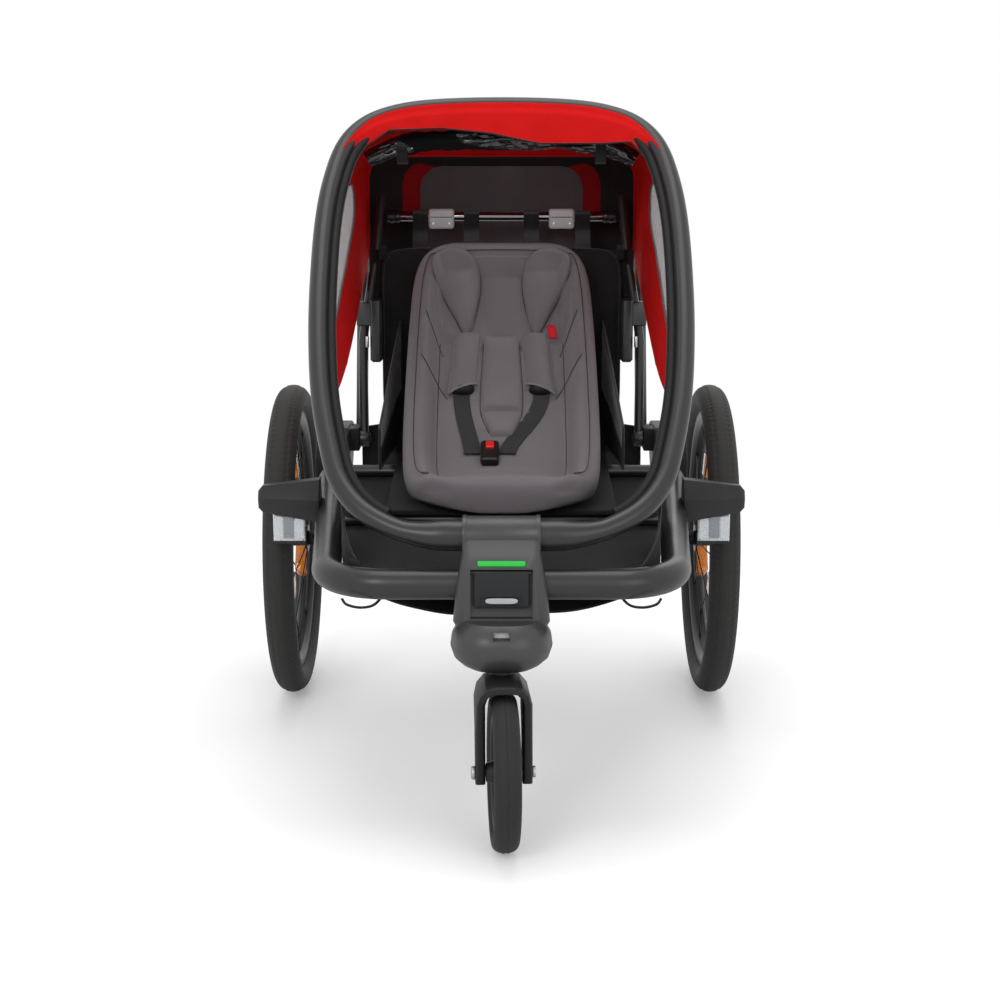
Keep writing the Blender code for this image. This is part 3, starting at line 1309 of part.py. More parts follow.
def build_handle():
    lean = at(0, HANDLE_TOP_Y, HANDLE_TOP_Z) - at(0, HANDLE_Y, HANDLE_FOOT_Z)
    up = lean.normalized()
    foot = at(HANDLE_X, HANDLE_Y, HANDLE_FOOT_Z)
    half = [foot, foot + up * 0.20]
    top = lean.length
    for step in range(7):
        turn = math.radians(90 * step / 6)
        across = HANDLE_X - HANDLE_CORNER_R * (1 - math.cos(turn))
        rise = top - HANDLE_CORNER_R * (1 - math.sin(turn))
        half.append(at(across, HANDLE_Y, HANDLE_FOOT_Z) + up * rise)
    path = half + [Vector((-p.x, p.y, p.z)) for p in reversed(half)]
    handle = sweep("push_handle", path, round_section(HANDLE_R, 10), DARK_GREY,
                   Vector((0, up.z, -up.y)), roughness=0.4)
    axis_foot = at(0, HANDLE_Y, HANDLE_FOOT_Z)
    for side in (-1, 1):
        outward = Vector((side, 0, 0))
        inner = axis_foot + outward * HANDLE_KNUCKLE_INNER
        outer = axis_foot + outward * (MOUNT_INNER - FIT)
        combine(handle, rod("handle_knuckle_guide", inner, outer, HANDLE_KNUCKLE_R, BLACK, 16), "UNION")
        combine(handle, rod("handle_bore", inner - outward * 0.01, outer + outward * 0.01,
                            BOLT_R + FIT, BLACK, 20))
    top_y, top_z = HANDLE_TOP_Y, HANDLE_TOP_Z
    grip_profile = [(-GRIP_HALF_LENGTH, HANDLE_R + FIT), (GRIP_HALF_LENGTH, HANDLE_R + FIT),
                    (GRIP_HALF_LENGTH, GRIP_R - 0.003), (GRIP_HALF_LENGTH - 0.004, GRIP_R),
                    (-GRIP_HALF_LENGTH + 0.004, GRIP_R), (-GRIP_HALF_LENGTH, GRIP_R - 0.003)]
    grip = turned("handle_grip", grip_profile, at(0, top_y, top_z), Vector((1, 0, 0)), 20, BLACK,
                  roughness=0.85)
    carry(pivot("handle_hinge", axis_foot), handle, grip)


def build_brake_pedal():
    """A foot pedal clamped round the cross tube."""
    centre = at(0, 0, REAR_WHEEL_R)
    half = Vector((PEDAL_HALF, 0, 0))
    pedal = rod("brake_pedal", centre - half, centre + half, PEDAL_RING_R, (0.25, 0.02, 0.03), 28,
                roughness=0.5)
    arm_outline = [(0.010, REAR_WHEEL_R + 0.013), (0.045, REAR_WHEEL_R + 0.006),
                   (PEDAL_REACH, REAR_WHEEL_R + 0.004), (PEDAL_REACH, REAR_WHEEL_R - 0.006),
                   (0.045, REAR_WHEEL_R - 0.010), (0.010, REAR_WHEEL_R - 0.013)]
    combine(pedal, plate("pedal_guide", arm_outline, -PEDAL_HALF + 0.002, PEDAL_HALF - 0.002, BLACK), "UNION")
    wide = Vector((PEDAL_HALF + 0.02, 0, 0))
    combine(pedal, rod("pedal_bore", centre - wide, centre + wide, CROSS_TUBE_R + FIT, BLACK, 24))
    carry(pivot("brake_hinge", centre), pedal)


# Infant insert and its harness, which lie on the seat

def smooth_step(low, high, value):
    t = min(max((value - low) / (high - low), 0.0), 1.0)
    return t * t * (3 - 2 * t)


def read_table(table, value):
    """Read a smooth value between the rows of a small table."""
    for (a, start), (b, end) in zip(table, table[1:]):
        if value <= b:
            return lerp(start, end, (value - a) / (b - a))
    return table[-1][1]


def insert_frame(s):
    """Place and forward normal of the insert's lining at a share of its length."""
    spans = len(INSERT_KNOTS) - 1
    knots = [Vector((0, y, z)) for y, z in INSERT_KNOTS]
    place = min(max(s, 0.0), 1.0) * spans
    i = min(int(place), spans - 1)
    t = place - i
    before = knots[i - 1] if i > 0 else knots[0] * 2 - knots[1]
    after = knots[i + 2] if i + 2 <= spans else knots[-1] * 2 - knots[-2]
    a, b = knots[i], knots[i + 1]
    point = 0.5 * (2 * a + (b - before) * t + (2 * before - 5 * a + 4 * b - after) * t * t
                   + (3 * a - before - 3 * b + after) * t ** 3)
    slope = 0.5 * ((b - before) + 2 * (2 * before - 5 * a + 4 * b - after) * t
                   + 3 * (3 * a - before - 3 * b + after) * t * t)
    tangent = slope.normalized()
    return at(0, point.y, point.z), tangent, Vector((0, -tangent.z, tangent.y))


def insert_dish(s, x):
    """Height of the padded rim above the lining."""
    q = abs(x) / read_table(INSERT_HALVES, s)
    side = smooth_step(0.62, 0.82, q)
    ends = max(smooth_step(0.90, 0.96, s), smooth_step(0.09, 0.03, s))
    return INSERT_RIM * max(side, ends)


def lining_point(s, x):
    """A point of the insert's front at one of its rows, straight between the columns."""
    half = read_table(INSERT_HALVES, s)
    place = min(max((x / half + 1) / 2, 0.0), 1.0) * INSERT_COLUMNS
    j = min(int(place), INSERT_COLUMNS - 1)
    a, b = (insert_dish(s, half * (-1 + 2 * k / INSERT_COLUMNS)) for k in (j, j + 1))
    point, _, normal = insert_frame(s)
    return point + Vector((x, 0, 0)) + normal * lerp(a, b, place - j)


def on_insert(s, x, height):
    """A point above the insert's facets, so that what lies on it never cuts in."""
    place = min(max(s, 0.0), 1.0) * INSERT_ROWS
    i = min(int(place), INSERT_ROWS - 1)
    _, _, normal = insert_frame(s)
    low, high = (lining_point(k / INSERT_ROWS, x) for k in (i, i + 1))
    return low.lerp(high, place - i) + normal * height


def seat_top(y):
    """Height of the seat board's upper face."""
    front = seat_tube_height(SEAT_TUBE_YS[0])
    rear = seat_tube_height(SEAT_TUBE_YS[1])
    run = (y - SEAT_TUBE_YS[0]) / (SEAT_TUBE_YS[1] - SEAT_TUBE_YS[0])
    return lerp(front, rear, run) + SEAT_TUBE_R + 2 * FIT + SEAT_BOARD_THICK


def build_insert():
    def front(s, q):
        half = read_table(INSERT_HALVES, s)
        edge = -0.010 * smooth_step(0.85, 1.0, abs(q)) - 0.008 * max(smooth_step(0.97, 1.0, s),
                                                                      smooth_step(0.03, 0.0, s))
        point, _, normal = insert_frame(s)
        return point + Vector((half * q, 0, 0)) + normal * (insert_dish(s, half * q) + edge)

    def back(s, q):
        half = read_table(INSERT_HALVES, s)
        point, _, normal = insert_frame(s)
        depth = INSERT_DEPTH * (1 - 0.75 * abs(q) ** 3) * (0.35 + 0.65 * math.sin(math.pi * min(max(s, 0.05), 0.95)))
        place = point + Vector((half * q * 0.97, 0, 0)) - normal * depth
        place.y = min(place.y, AXLE_Y + SEAT_BACK_Y - FIT)
        place.z = max(place.z, seat_top(place.y - AXLE_Y) + FIT)
        return place

    cushion("infant_insert", front, back, INSERT_ROWS, INSERT_COLUMNS, INSERT_GREY, roughness=0.95, sharp=80)


def insert_pad(name, s_range, centre, half_at, height_at, rows, columns, lift=0.0006):
    """A small pad that lies on the insert's lining."""
    def front(t, q):
        s = lerp(s_range[0], s_range[1], t)
        return on_insert(s, centre(t) + half_at(t) * q, height_at(t, q) + PAD_LIFT)

    def back(t, q):
        s = lerp(s_range[0], s_range[1], t)
        return on_insert(s, centre(t) + half_at(t) * q * 0.97, lift)

    return cushion(name, front, back, rows, columns, INSERT_GREY, roughness=0.95, sharp=80)


def build_insert_pads():
    def head_half(t):
        return 0.104 * (1 - abs(2 * t - 1) ** 3.2 * 0.35)

    def head_height(t, q):
        lobe = math.exp(-((abs(q) - 0.62) / 0.30) ** 2)
        rise = (1 - abs(2 * t - 1) ** 3) * (1 - abs(q) ** 8)
        return 0.003 + (0.008 + 0.020 * lobe) * max(rise, 0.0)

    insert_pad("head_pad", HEAD_PAD_RUN, lambda t: 0.0, head_half, head_height, 7, 16,
               lift=0.0022)

    def body_half(t):
        return 0.0255 * smooth_step(-0.25, 0.42, t)

    def body_height(t, q):
        seam = 0.55 + 0.45 * min(abs(t - 0.32) / 0.08, 1.0)
        return 0.003 + 0.011 * seam * (1 - abs(q) ** 4) * (1 - abs(2 * t - 1) ** 6)

    insert_pad("body_pad", BODY_PAD_RUN, lambda t: 0.0, body_half, body_height, 12, 6)
    for side_name, side in (("left", -1), ("right", 1)):
        insert_pad(side_name + "_shoulder_pad", SHOULDER_PAD_RUN, lambda t, side=side: side * 0.0520,
                   lambda t: 0.0235, lambda t, q: 0.004 + 0.013 * (1 - abs(q) ** 3), 6, 6)
        path = []
        foot_x = BUCKLE_X + side * (BUCKLE_HALF[0] + STRAP_WIDTH / 2 + 0.0005)
        for step in range(10):
            run = step / 9
            s = lerp(0.572, BUCKLE_S + SHOULDER_STRAP_FEATHER, run)
            x = lerp(side * 0.0600, foot_x, smooth_step(0.0, 1.0, run))
            path.append(on_insert(s, x, STRAP_THICK / 2 + 0.0008 + 0.0055 * run ** 2))
        sweep(side_name + "_harness_strap", path, flat_section(STRAP_WIDTH, STRAP_THICK), BLACK,
              Vector((1, 0, 0)), roughness=0.8)


def buckle_point(x, along, height):
    point, tangent, normal = insert_frame(BUCKLE_S)
    return point + Vector((BUCKLE_X + x, 0, 0)) + tangent * along + normal * height


def build_buckle():
    def layer(half_x, half_along, height, centre=0.0):
        return [buckle_point(half_x * a, centre + half_along * b, height)
                for a, b in ((-1, -0.8), (-0.8, -1), (0.8, -1), (1, -0.8),
                             (1, 0.8), (0.8, 1), (-0.8, 1), (-1, 0.8))]

    low, high = BUCKLE_HEIGHTS
    half_x, half_y = BUCKLE_HALF
    buckle = loft("harness_buckle", [layer(half_x - 0.001, half_y - 0.001, low),
                                     layer(half_x, half_y, low + 0.002), layer(half_x, half_y, high - 0.002),
                                     layer(half_x - 0.002, half_y - 0.002, high)], BLACK, roughness=0.35)
    bx, by = BUCKLE_BUTTON_HALF
    centre = half_y - by - 0.006
    pocket_floor = high - 0.006
    combine(buckle, loft("button_pocket", [layer(bx + FIT, by + FIT, pocket_floor, centre),
                                           layer(bx + FIT, by + FIT, high + 0.01, centre)], BLACK))
    foot = pocket_floor + BUCKLE_BUTTON_TRAVEL + FIT
    button = loft("buckle_button", [layer(bx, by, foot, centre), layer(bx, by, high + 0.001, centre),
                                    layer(bx - 0.001, by - 0.001, high + 0.002, centre)],
                  (0.55, 0.03, 0.03), roughness=0.3)
    carry(pivot("buckle_slide", buckle_point(0, centre, high)), button)


def build_mesh_panel(side_name, side):
    """A mesh wing between the seat back and the seat base."""
    rows, columns = 6, 8
    points = []
    for i in range(rows + 1):
        run = i / rows
        y = lerp(SEAT_BACK_Y - FIT * 2, MESH_PANEL_FRONT_Y, run)
        x = lerp(*MESH_PANEL_X, run)
        low = seat_top(min(y, SEAT_TUBE_YS[1] + 0.02)) + 0.006
        high = lerp(*MESH_PANEL_TOP, run ** 0.8)
        points.append([at(side * x, y, lerp(low, high, j / columns)) for j in range(columns + 1)])
    sheet(side_name + "_mesh_panel", points, lambda i, j: True, MESH_PANEL_THICK, MESH_GREY, roughness=0.9)


def build_trailer():
    build_bumper()
    build_front_hub()
    build_hub_indicator()
    build_release_lever()
    build_lock_button()
    build_caster_fork()
    build_caster_wheel()
    build_rear_frame()
    build_floor_pan()
    build_belly()
    build_front_panel()
    build_seat_base()
    for side_name, side in (("left", -1), ("right", 1)):
        build_bumper_arm(side_name, side)
        build_mesh_panel(side_name, side)
    build_hoop()
    build_upright()
    build_handle()
    build_brake_pedal()
    build_insert()
    build_insert_pads()
    build_buckle()


clear_scene()
build_trailer()
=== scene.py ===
"""Child bike trailer in stroller set-up: the looks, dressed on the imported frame."""

import json
import logging
from dataclasses import dataclass, field
from enum import Enum, IntEnum
from functools import cached_property
from math import atan2, copysign, cos, exp, hypot, pi, radians, sin, sqrt, tan
from typing import Callable, Dict, List, Optional, Sequence, Tuple

import bmesh
import bpy
from mathutils import Matrix, Vector, noise
from mathutils.kdtree import KDTree

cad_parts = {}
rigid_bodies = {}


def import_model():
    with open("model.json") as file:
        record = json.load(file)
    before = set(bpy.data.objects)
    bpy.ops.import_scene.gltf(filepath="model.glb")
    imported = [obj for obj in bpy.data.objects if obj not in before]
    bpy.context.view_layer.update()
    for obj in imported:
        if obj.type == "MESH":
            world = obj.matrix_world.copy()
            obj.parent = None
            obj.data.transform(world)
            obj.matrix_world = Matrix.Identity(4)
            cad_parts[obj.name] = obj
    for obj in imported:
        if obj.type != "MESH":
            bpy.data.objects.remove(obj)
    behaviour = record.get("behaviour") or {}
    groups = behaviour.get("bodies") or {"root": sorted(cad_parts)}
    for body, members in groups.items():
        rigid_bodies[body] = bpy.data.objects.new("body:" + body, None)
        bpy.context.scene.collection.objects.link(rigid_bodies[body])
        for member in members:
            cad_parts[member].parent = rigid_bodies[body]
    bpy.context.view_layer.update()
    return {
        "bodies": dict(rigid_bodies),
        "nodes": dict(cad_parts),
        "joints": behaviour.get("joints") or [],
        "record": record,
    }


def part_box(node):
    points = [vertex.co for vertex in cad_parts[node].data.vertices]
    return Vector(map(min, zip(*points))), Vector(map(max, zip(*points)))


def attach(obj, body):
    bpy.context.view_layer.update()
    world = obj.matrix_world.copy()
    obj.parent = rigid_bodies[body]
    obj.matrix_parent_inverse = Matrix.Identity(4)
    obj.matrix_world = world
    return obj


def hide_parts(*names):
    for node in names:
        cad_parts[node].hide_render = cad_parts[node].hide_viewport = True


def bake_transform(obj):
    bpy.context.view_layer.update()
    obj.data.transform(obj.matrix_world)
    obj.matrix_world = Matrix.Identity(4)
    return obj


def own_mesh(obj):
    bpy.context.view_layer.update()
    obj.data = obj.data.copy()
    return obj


LOG = logging.getLogger("trailer")
RGB = Tuple[int, int, int]
Pair = Tuple[float, float]
Line = List[Vector]
Places = Sequence[Vector]
Surface = Callable[[float, float], Vector]
Section = Callable[[float, float], Pair]
Thing = bpy.types.Object
Socket = bpy.types.NodeSocket

AXLE_Y = 0.28575
STITCH = 0.0054
FORWARD = Vector((0, -1, 0))
ACROSS = Vector((1, 0, 0))


def at(x: float, y: float, z: float) -> Vector:
    """A place x to the right, y behind the rear axle and z above the floor."""
    return Vector((x, y + AXLE_Y, z))


def billow(x: float, y: float, z: float) -> float:
    """Smooth cloth unevenness at a place, about -1 to 1."""
    return noise.noise(Vector((x, y, z)))


def blunt(value: float, power: float) -> float:
    """A power of a number's size that keeps its sign, which squares off a round outline."""
    return copysign(abs(value) ** power, value)


def lerp(a: float, b: float, t: float) -> float:
    """The value a share t of the way from a to b."""
    return a + (b - a) * t


def ramp(low: float, high: float, value: float) -> float:
    """A smooth step from 0 at low to 1 at high."""
    t = min(max((value - low) / (high - low), 0.0), 1.0)
    return t * t * (3 - 2 * t)


def dip(value: float, centre: float, width: float) -> float:
    """1 at the centre, falling smoothly to 0 a few widths away."""
    return exp(-((value - centre) / width) ** 2)


def read_table(table: Sequence[Pair], value: float) -> float:
    """Read a value between the rows of a small table."""
    if value <= table[0][0]:
        return table[0][1]
    for (a, start), (b, end) in zip(table, table[1:]):
        if value <= b:
            return lerp(start, end, (value - a) / (b - a))
    return table[-1][1]


def read_curve(table: Sequence[Pair], value: float) -> float:
    """Read a value from a table whose rows are joined by a smooth curve."""
    value = min(max(value, table[0][0]), table[-1][0])
    i = next(k for k in range(len(table) - 1) if value <= table[k + 1][0])
    slopes = []
    for k in (i, i + 1):
        before, after = table[max(k - 1, 0)], table[min(k + 1, len(table) - 1)]
        slopes.append((after[1] - before[1]) / (after[0] - before[0]))
    (a, start), (b, end) = table[i], table[i + 1]
    t, span = (value - a) / (b - a), b - a
    rise, fall = 2 * t ** 3 - 3 * t ** 2 + 1, 3 * t ** 2 - 2 * t ** 3
    lean = (t ** 3 - 2 * t ** 2 + t) * slopes[0] + (t ** 3 - t ** 2) * slopes[1]
    return rise * start + fall * end + span * lean


def curve_at(points: Places, i: int, t: float) -> Tuple[Vector, Vector]:
    """A place on the smooth line through some points, and the line's slope there.

    Args:
        points: the places to pass through.
        i: the point that the span starts from.
        t: the share of the span.

    Returns:
        The place and the slope.
    """
    a, b = points[i], points[i + 1]
    before = points[i - 1] if i > 0 else a * 2 - b
    after = points[i + 2] if i + 2 < len(points) else b * 2 - a
    bend, twist = 2 * before - 5 * a + 4 * b - after, 3 * a - before - 3 * b + after
    place = 0.5 * (2 * a + (b - before) * t + bend * t * t + twist * t ** 3)
    return place, 0.5 * ((b - before) + 2 * bend * t + 3 * twist * t * t)


def spline(points: Places, steps: int) -> Line:
    """A smooth line through the given points, each span cut into steps."""
    line = [curve_at(points, i, step / steps)[0] for i in range(len(points) - 1) for step in range(steps)]
    return line + [points[-1].copy()]


def resample(line: Places, count: int, closed: bool = False) -> Line:
    """Places at even distances along a line.

    Args:
        line: the places of the line.
        count: how many places to return.
        closed: whether the line runs back to its start.

    Returns:
        The evenly spaced places.
    """
    points = list(line) + ([line[0]] if closed else [])
    reach = [0.0]
    for a, b in zip(points, points[1:]):
        reach.append(reach[-1] + (b - a).length)
    spans = count if closed else count - 1
    result: Line = []
    j = 0
    for i in range(count):
        want = reach[-1] * i / spans
        while j < len(points) - 2 and reach[j + 1] < want:
            j += 1
        run = reach[j + 1] - reach[j]
        result.append(points[j].lerp(points[j + 1], (want - reach[j]) / run if run > 0 else 0.0))
    return result


# Finishes

class Relief(Enum):
    """The fine surface that a finish has."""

    GRAIN = 1
    WEAVE = 2
    TWILL = 3
    KNIT = 4
    FOAM = 5
    CRINKLE = 6
    BRUSHED = 7
    PRISM = 8


class Nodes:
    """Short calls that fill the node tree of a material or a world."""

    def __init__(self, owner: bpy.types.ID) -> None:
        """Start from the shader that a new material or world has."""
        owner.use_nodes = True
        self.tree = owner.node_tree
        self.shader = next(n for n in self.tree.nodes if n.type in ("BSDF_PRINCIPLED", "BACKGROUND"))

    @cached_property
    def place(self) -> Socket:
        """The place on the object, in metres."""
        return self.add("ShaderNodeTexCoord").outputs["Object"]

    def add(self, kind: str, *values: object, **named: object) -> bpy.types.Node:
        """Add a node and set or link its inputs.

        Args:
            kind: the node's type name.
            values: numbers or sockets for the first inputs, None to leave one alone.
            named: node settings, such as operation.

        Returns:
            The node.
        """
        node = self.tree.nodes.new(kind)
        for key, value in named.items():
            setattr(node, key, value)
        for socket, value in zip(node.inputs, values):
            self.give(socket, value)
        return node

    def give(self, socket: Socket, value: object) -> None:
        """Link a socket to another one, or set its number unless that is None."""
        if isinstance(value, Socket):
            self.tree.links.new(value, socket)
        elif value is not None:
            socket.default_value = value

    def fill(self, node: bpy.types.Node, **values: object) -> bpy.types.Node:
        """Set or link a node's inputs by name, with _ where the name has a space."""
        for name, value in values.items():
            self.give(node.inputs[name.replace("_", " ")], value)
        return node

    def math(self, operation: str, a: object, b: object = None) -> Socket:
        """One step of arithmetic."""
        return self.add("ShaderNodeMath", a, b, operation=operation).outputs[0]

    def texture(self, kind: str, scale: Sequence[float], **values: object) -> bpy.types.Node:
        """A texture node, laid out by a scale for each axis."""
        mapping = self.fill(self.add("ShaderNodeMapping", self.place), Scale=scale)
        return self.fill(self.add(kind, mapping.outputs[0]), Scale=1.0, **values)

    def noise(self, pitch: float, detail: float = 2.0, stretch: Sequence[float] = (1, 1, 1)) -> Socket:
        """Cloudy noise from 0 to 1.

        Args:
            pitch: the size of a cloud in metres.
            detail: how many finer layers it has.
            stretch: how much finer it is along each axis.

        Returns:
            The noise's value.
        """
        return self.texture("ShaderNodeTexNoise", [k / pitch for k in stretch], Detail=detail).outputs["Fac"]

    def waves(self, weights: Sequence[float], pitch: float) -> Socket:
        """Ridges from -1 to 1, a pitch apart, across the direction of the weights."""
        dot = self.add("ShaderNodeVectorMath", self.place, operation="DOT_PRODUCT")
        dot.inputs[1].default_value = weights
        return self.math("SINE", self.math("MULTIPLY", dot.outputs["Value"], 2 * pi / pitch))

    def relief(self, kind: Relief, pitch: float) -> Socket:
        """The height of a finish's fine surface.

        Args:
            kind: which surface.
            pitch: its size in metres.

        Returns:
            The height, about 0 to 1.
        """
        if kind == Relief.WEAVE:
            warp = self.waves((1.0, 0.8, -0.8), pitch)
            return self.math("MULTIPLY", warp, self.waves((0.3, 1.0, 1.0), pitch))
        if kind == Relief.TWILL:
            return self.waves((1.0, 1.3, 1.3), pitch)
        if kind == Relief.KNIT:
            rib = self.math("ABSOLUTE", self.waves((1.0, 0.7, -0.7), pitch))
            return self.math("ADD", rib, self.waves((0.5, 1.0, 1.0), pitch * 0.6))
        if kind == Relief.FOAM:
            return self.texture("ShaderNodeTexVoronoi", [1 / pitch] * 3).outputs["Distance"]
        if kind == Relief.CRINKLE:
            ridge = self.math("ABSOLUTE", self.math("SUBTRACT", self.noise(pitch, 3.0, (1, 1, 2)), 0.5))
            return self.math("MULTIPLY", ridge, 3.0)
        if kind == Relief.BRUSHED:
            return self.noise(pitch, 1.0, (0.03, 1, 1))
        if kind == Relief.PRISM:
            return self.math("MULTIPLY", self.waves((1, 0.5, 0), pitch), self.waves((0, 0.3, 1), pitch))
        return self.noise(pitch, 3.0)


SMUDGE = 0.08
SHEEN_ROUGHNESS = 0.4


@dataclass(frozen=True)
class Finish:
    """A surface: its colour, gloss, fine relief and unevenness."""

    name: str
    colour: RGB
    roughness: float = 0.5
    metallic: float = 0.0
    relief: Relief = Relief.GRAIN
    pitch: float = 0.0008
    height: float = 0.0001
    mottle: float = 0.08
    mottle_pitch: float = 0.06
    # line_shade: how strongly painted shade darkens the colour in the relief's grooves
    line_shade: float = 0.0
    sheen: float = 0.0
    coat: float = 0.0
    coat_roughness: float = 0.15
    alpha: float = 1.0
    specular: float = 0.25

    def linear(self, factor: float = 1.0) -> Tuple[float, float, float, float]:
        """The colour as the shader wants it, made lighter or darker by a factor."""
        shares = [c / 255 for c in self.colour]
        light = [s / 12.92 if s <= 0.04045 else ((s + 0.055) / 1.055) ** 2.4 for s in shares]
        return (*[min(v * factor, 1.0) for v in light], 1.0)

    def material(self) -> bpy.types.Material:
        """The material, made the first time it is asked for."""
        known = bpy.data.materials.get(f"{self.name}_finish")
        if known:
            return known
        material = bpy.data.materials.new(f"{self.name}_finish")
        nodes = Nodes(material)
        cloud = nodes.noise(self.mottle_pitch, 4.0)
        colour = nodes.fill(nodes.add("ShaderNodeMix", data_type="RGBA"), Factor=cloud,
                            A=self.linear(1 - self.mottle * 2), B=self.linear(1 + self.mottle * 2))
        relief = nodes.relief(self.relief, self.pitch)
        # Painted shade: the colour is darkened where the relief dips, in its grooves
        if self.line_shade > 0:
            grooves = nodes.math("MAXIMUM", nodes.math("MULTIPLY", relief, -1.0), 0.0)
            colour = nodes.fill(nodes.add("ShaderNodeMix", data_type="RGBA", blend_type="MULTIPLY"),
                                Factor=nodes.math("MULTIPLY", grooves, self.line_shade),
                                A=colour.outputs["Result"], B=(0.1, 0.1, 0.1, 1.0))
        smudge = nodes.math("MULTIPLY", nodes.math("SUBTRACT", cloud, 0.5), 2 * SMUDGE)
        bump = nodes.fill(nodes.add("ShaderNodeBump"), Strength=1.0, Distance=self.height, Height=relief)
        nodes.fill(nodes.shader, Metallic=self.metallic, Coat_Weight=self.coat, Coat_Roughness=self.coat_roughness,
                   Sheen_Weight=self.sheen, Sheen_Roughness=SHEEN_ROUGHNESS, Alpha=self.alpha,
                   Specular_IOR_Level=self.specular, Base_Color=colour.outputs["Result"],
                   Roughness=nodes.math("ADD", smudge, self.roughness), Normal=bump.outputs[0])
        return material


@dataclass(frozen=True)
class Plastic(Finish):
    """Moulded plastic or paint with a fine grain."""

    roughness: float = 0.45
    pitch: float = 0.0006
    height: float = 0.00004


@dataclass(frozen=True)
class Lens(Finish):
    """A reflector's face, moulded in small prisms."""

    relief: Relief = Relief.PRISM
    height: float = 0.0004
    mottle_pitch: float = 0.006
    coat: float = 1.0


@dataclass(frozen=True)
class Woven(Finish):
    """Cloth, mesh or webbing."""

    roughness: float = 0.80
    relief: Relief = Relief.WEAVE
    pitch: float = 0.0012
    height: float = 0.00018
    specular: float = 0.1


@dataclass(frozen=True)
class Thread(Finish):
    """Twisted sewing thread."""

    roughness: float = 0.80
    relief: Relief = Relief.TWILL


FRAME_PAINT = Plastic("frame_paint", (33, 33, 35), 0.33, height=0.00003, mottle=0.04, specular=0.5)
HUB_PLASTIC = Plastic("hub_plastic", (56, 56, 57), 0.36, pitch=0.0005, height=0.00005, mottle=0.05, specular=0.5)
LEVER_PLASTIC = Plastic("lever_plastic", (34, 35, 36), 0.40, pitch=0.0005, height=0.00005)
GREY_INLAY = Plastic("grey_inlay", (176, 178, 180), pitch=0.0005, height=0.00003)
INDICATOR_GREEN = Plastic("indicator_green", (22, 196, 62), 0.30, pitch=0.0010, height=0.00002, coat=0.5)
LOCK_GREY = Plastic("lock_grey", (206, 207, 208), height=0.00003)
MOUNT_PLASTIC = Plastic("mount_plastic", (24, 25, 27), 0.50, height=0.00008)
PEDAL_PLASTIC = Plastic("pedal_plastic", (33, 34, 35), 0.52, pitch=0.0007, height=0.00008)
FORK_PLASTIC = Plastic("fork_plastic", (32, 33, 34), 0.38)
ARM_PLASTIC = Plastic("arm_plastic", (48, 48, 49), 0.44, height=0.00005, specular=0.2)
CLAMP_PLASTIC = Plastic("clamp_plastic", (182, 183, 184), height=0.00003)
WHEEL_BLACK = Plastic("wheel_black", (34, 34, 36), 0.36, 0.3, height=0.00003)
RIM_PLASTIC = Plastic("caster_rim_plastic", (38, 38, 40), 0.42)
AXLE_CAP = Plastic("axle_cap", (40, 40, 42))
BUCKLE_BLACK = Plastic("buckle_black", (22, 22, 23), 0.30, height=0.00003, coat=0.2)
BUCKLE_RED = Plastic("buckle_red", (224, 34, 28), 0.32, height=0.00002, coat=0.3)
BAR_CHROME = Finish("bar_chrome", (120, 121, 124), 0.14, 1.0, Relief.BRUSHED, 0.0004, 0.00002, mottle=0.03)
PIN_STEEL = Finish("pin_steel", (176, 176, 178), 0.28, 1.0, Relief.BRUSHED, 0.0004, 0.00003)
TYRE_RUBBER = Finish("tyre_rubber", (50, 50, 49), 0.62, pitch=0.0012, height=0.00015, mottle=0.10,
                     mottle_pitch=0.02, specular=0.2)
CASTER_RUBBER = Finish("caster_rubber", (42, 42, 42), 0.58, pitch=0.0010, mottle_pitch=0.015, specular=0.2)
SEAL_RUBBER = Finish("seal_rubber", (26, 26, 27), 0.60, height=0.00005)
GRIP_FOAM = Finish("grip_foam", (26, 26, 27), 0.85, relief=Relief.FOAM, pitch=0.0011, height=0.00025,
                   mottle=0.06, specular=0.1)
LENS_CLEAR = Lens("lens_clear", (218, 222, 226), 0.18, pitch=0.0042, mottle=0.10, coat_roughness=0.04)
LENS_ORANGE = Lens("lens_orange", (246, 134, 22), 0.22, pitch=0.0040, mottle=0.12, coat_roughness=0.05)
LENS_WHITE = Lens("lens_white", (150, 154, 160), 0.20, pitch=0.0036, mottle_pitch=0.06, coat=0.6)
WINDOW_FILM = Finish("window_film", (206, 196, 198), 0.22, relief=Relief.CRINKLE, pitch=0.045, height=0.0012,
                     mottle=0.06, mottle_pitch=0.05, coat=0.6, alpha=0.60)
ROLL_FILM = Finish("roll_film", (24, 24, 26), 0.20, relief=Relief.CRINKLE, pitch=0.016, height=0.0035,
                   mottle=0.30, mottle_pitch=0.02, coat=1.0, coat_roughness=0.05)
FABRIC_BLACK = Woven("fabric_black", (46, 45, 46), 0.85, pitch=0.0011, height=0.00022, mottle=0.14,
                     sheen=0.08, line_shade=0.4)
FABRIC_BACK = Woven("fabric_back", (44, 43, 44), 0.70, relief=Relief.TWILL, pitch=0.0016, height=0.00022,
                    mottle=0.16, sheen=0.3, line_shade=0.4)
FABRIC_CHARCOAL = Woven("fabric_charcoal", (100, 95, 98), height=0.00022, mottle=0.10, sheen=0.3, line_shade=0.3)
FABRIC_RED = Woven("fabric_red", (228, 26, 26), 0.75, line_shade=0.12)
FABRIC_CRIMSON = Woven("fabric_crimson", (150, 18, 24), mottle=0.10, sheen=0.2, line_shade=0.2)
ROLL_MESH = Woven("roll_mesh", (20, 20, 21), pitch=0.0022, height=0.0004, mottle=0.12, line_shade=0.5)
MESH_GREY = Woven("mesh_grey", (205, 206, 206), 0.75, relief=Relief.TWILL, pitch=0.0044, height=0.0006,
                  line_shade=0.55)
WEBBING_BLACK = Woven("webbing_black", (38, 38, 39), 0.62, relief=Relief.TWILL, pitch=0.0018, height=0.0003,
                      sheen=0.2, line_shade=0.5)
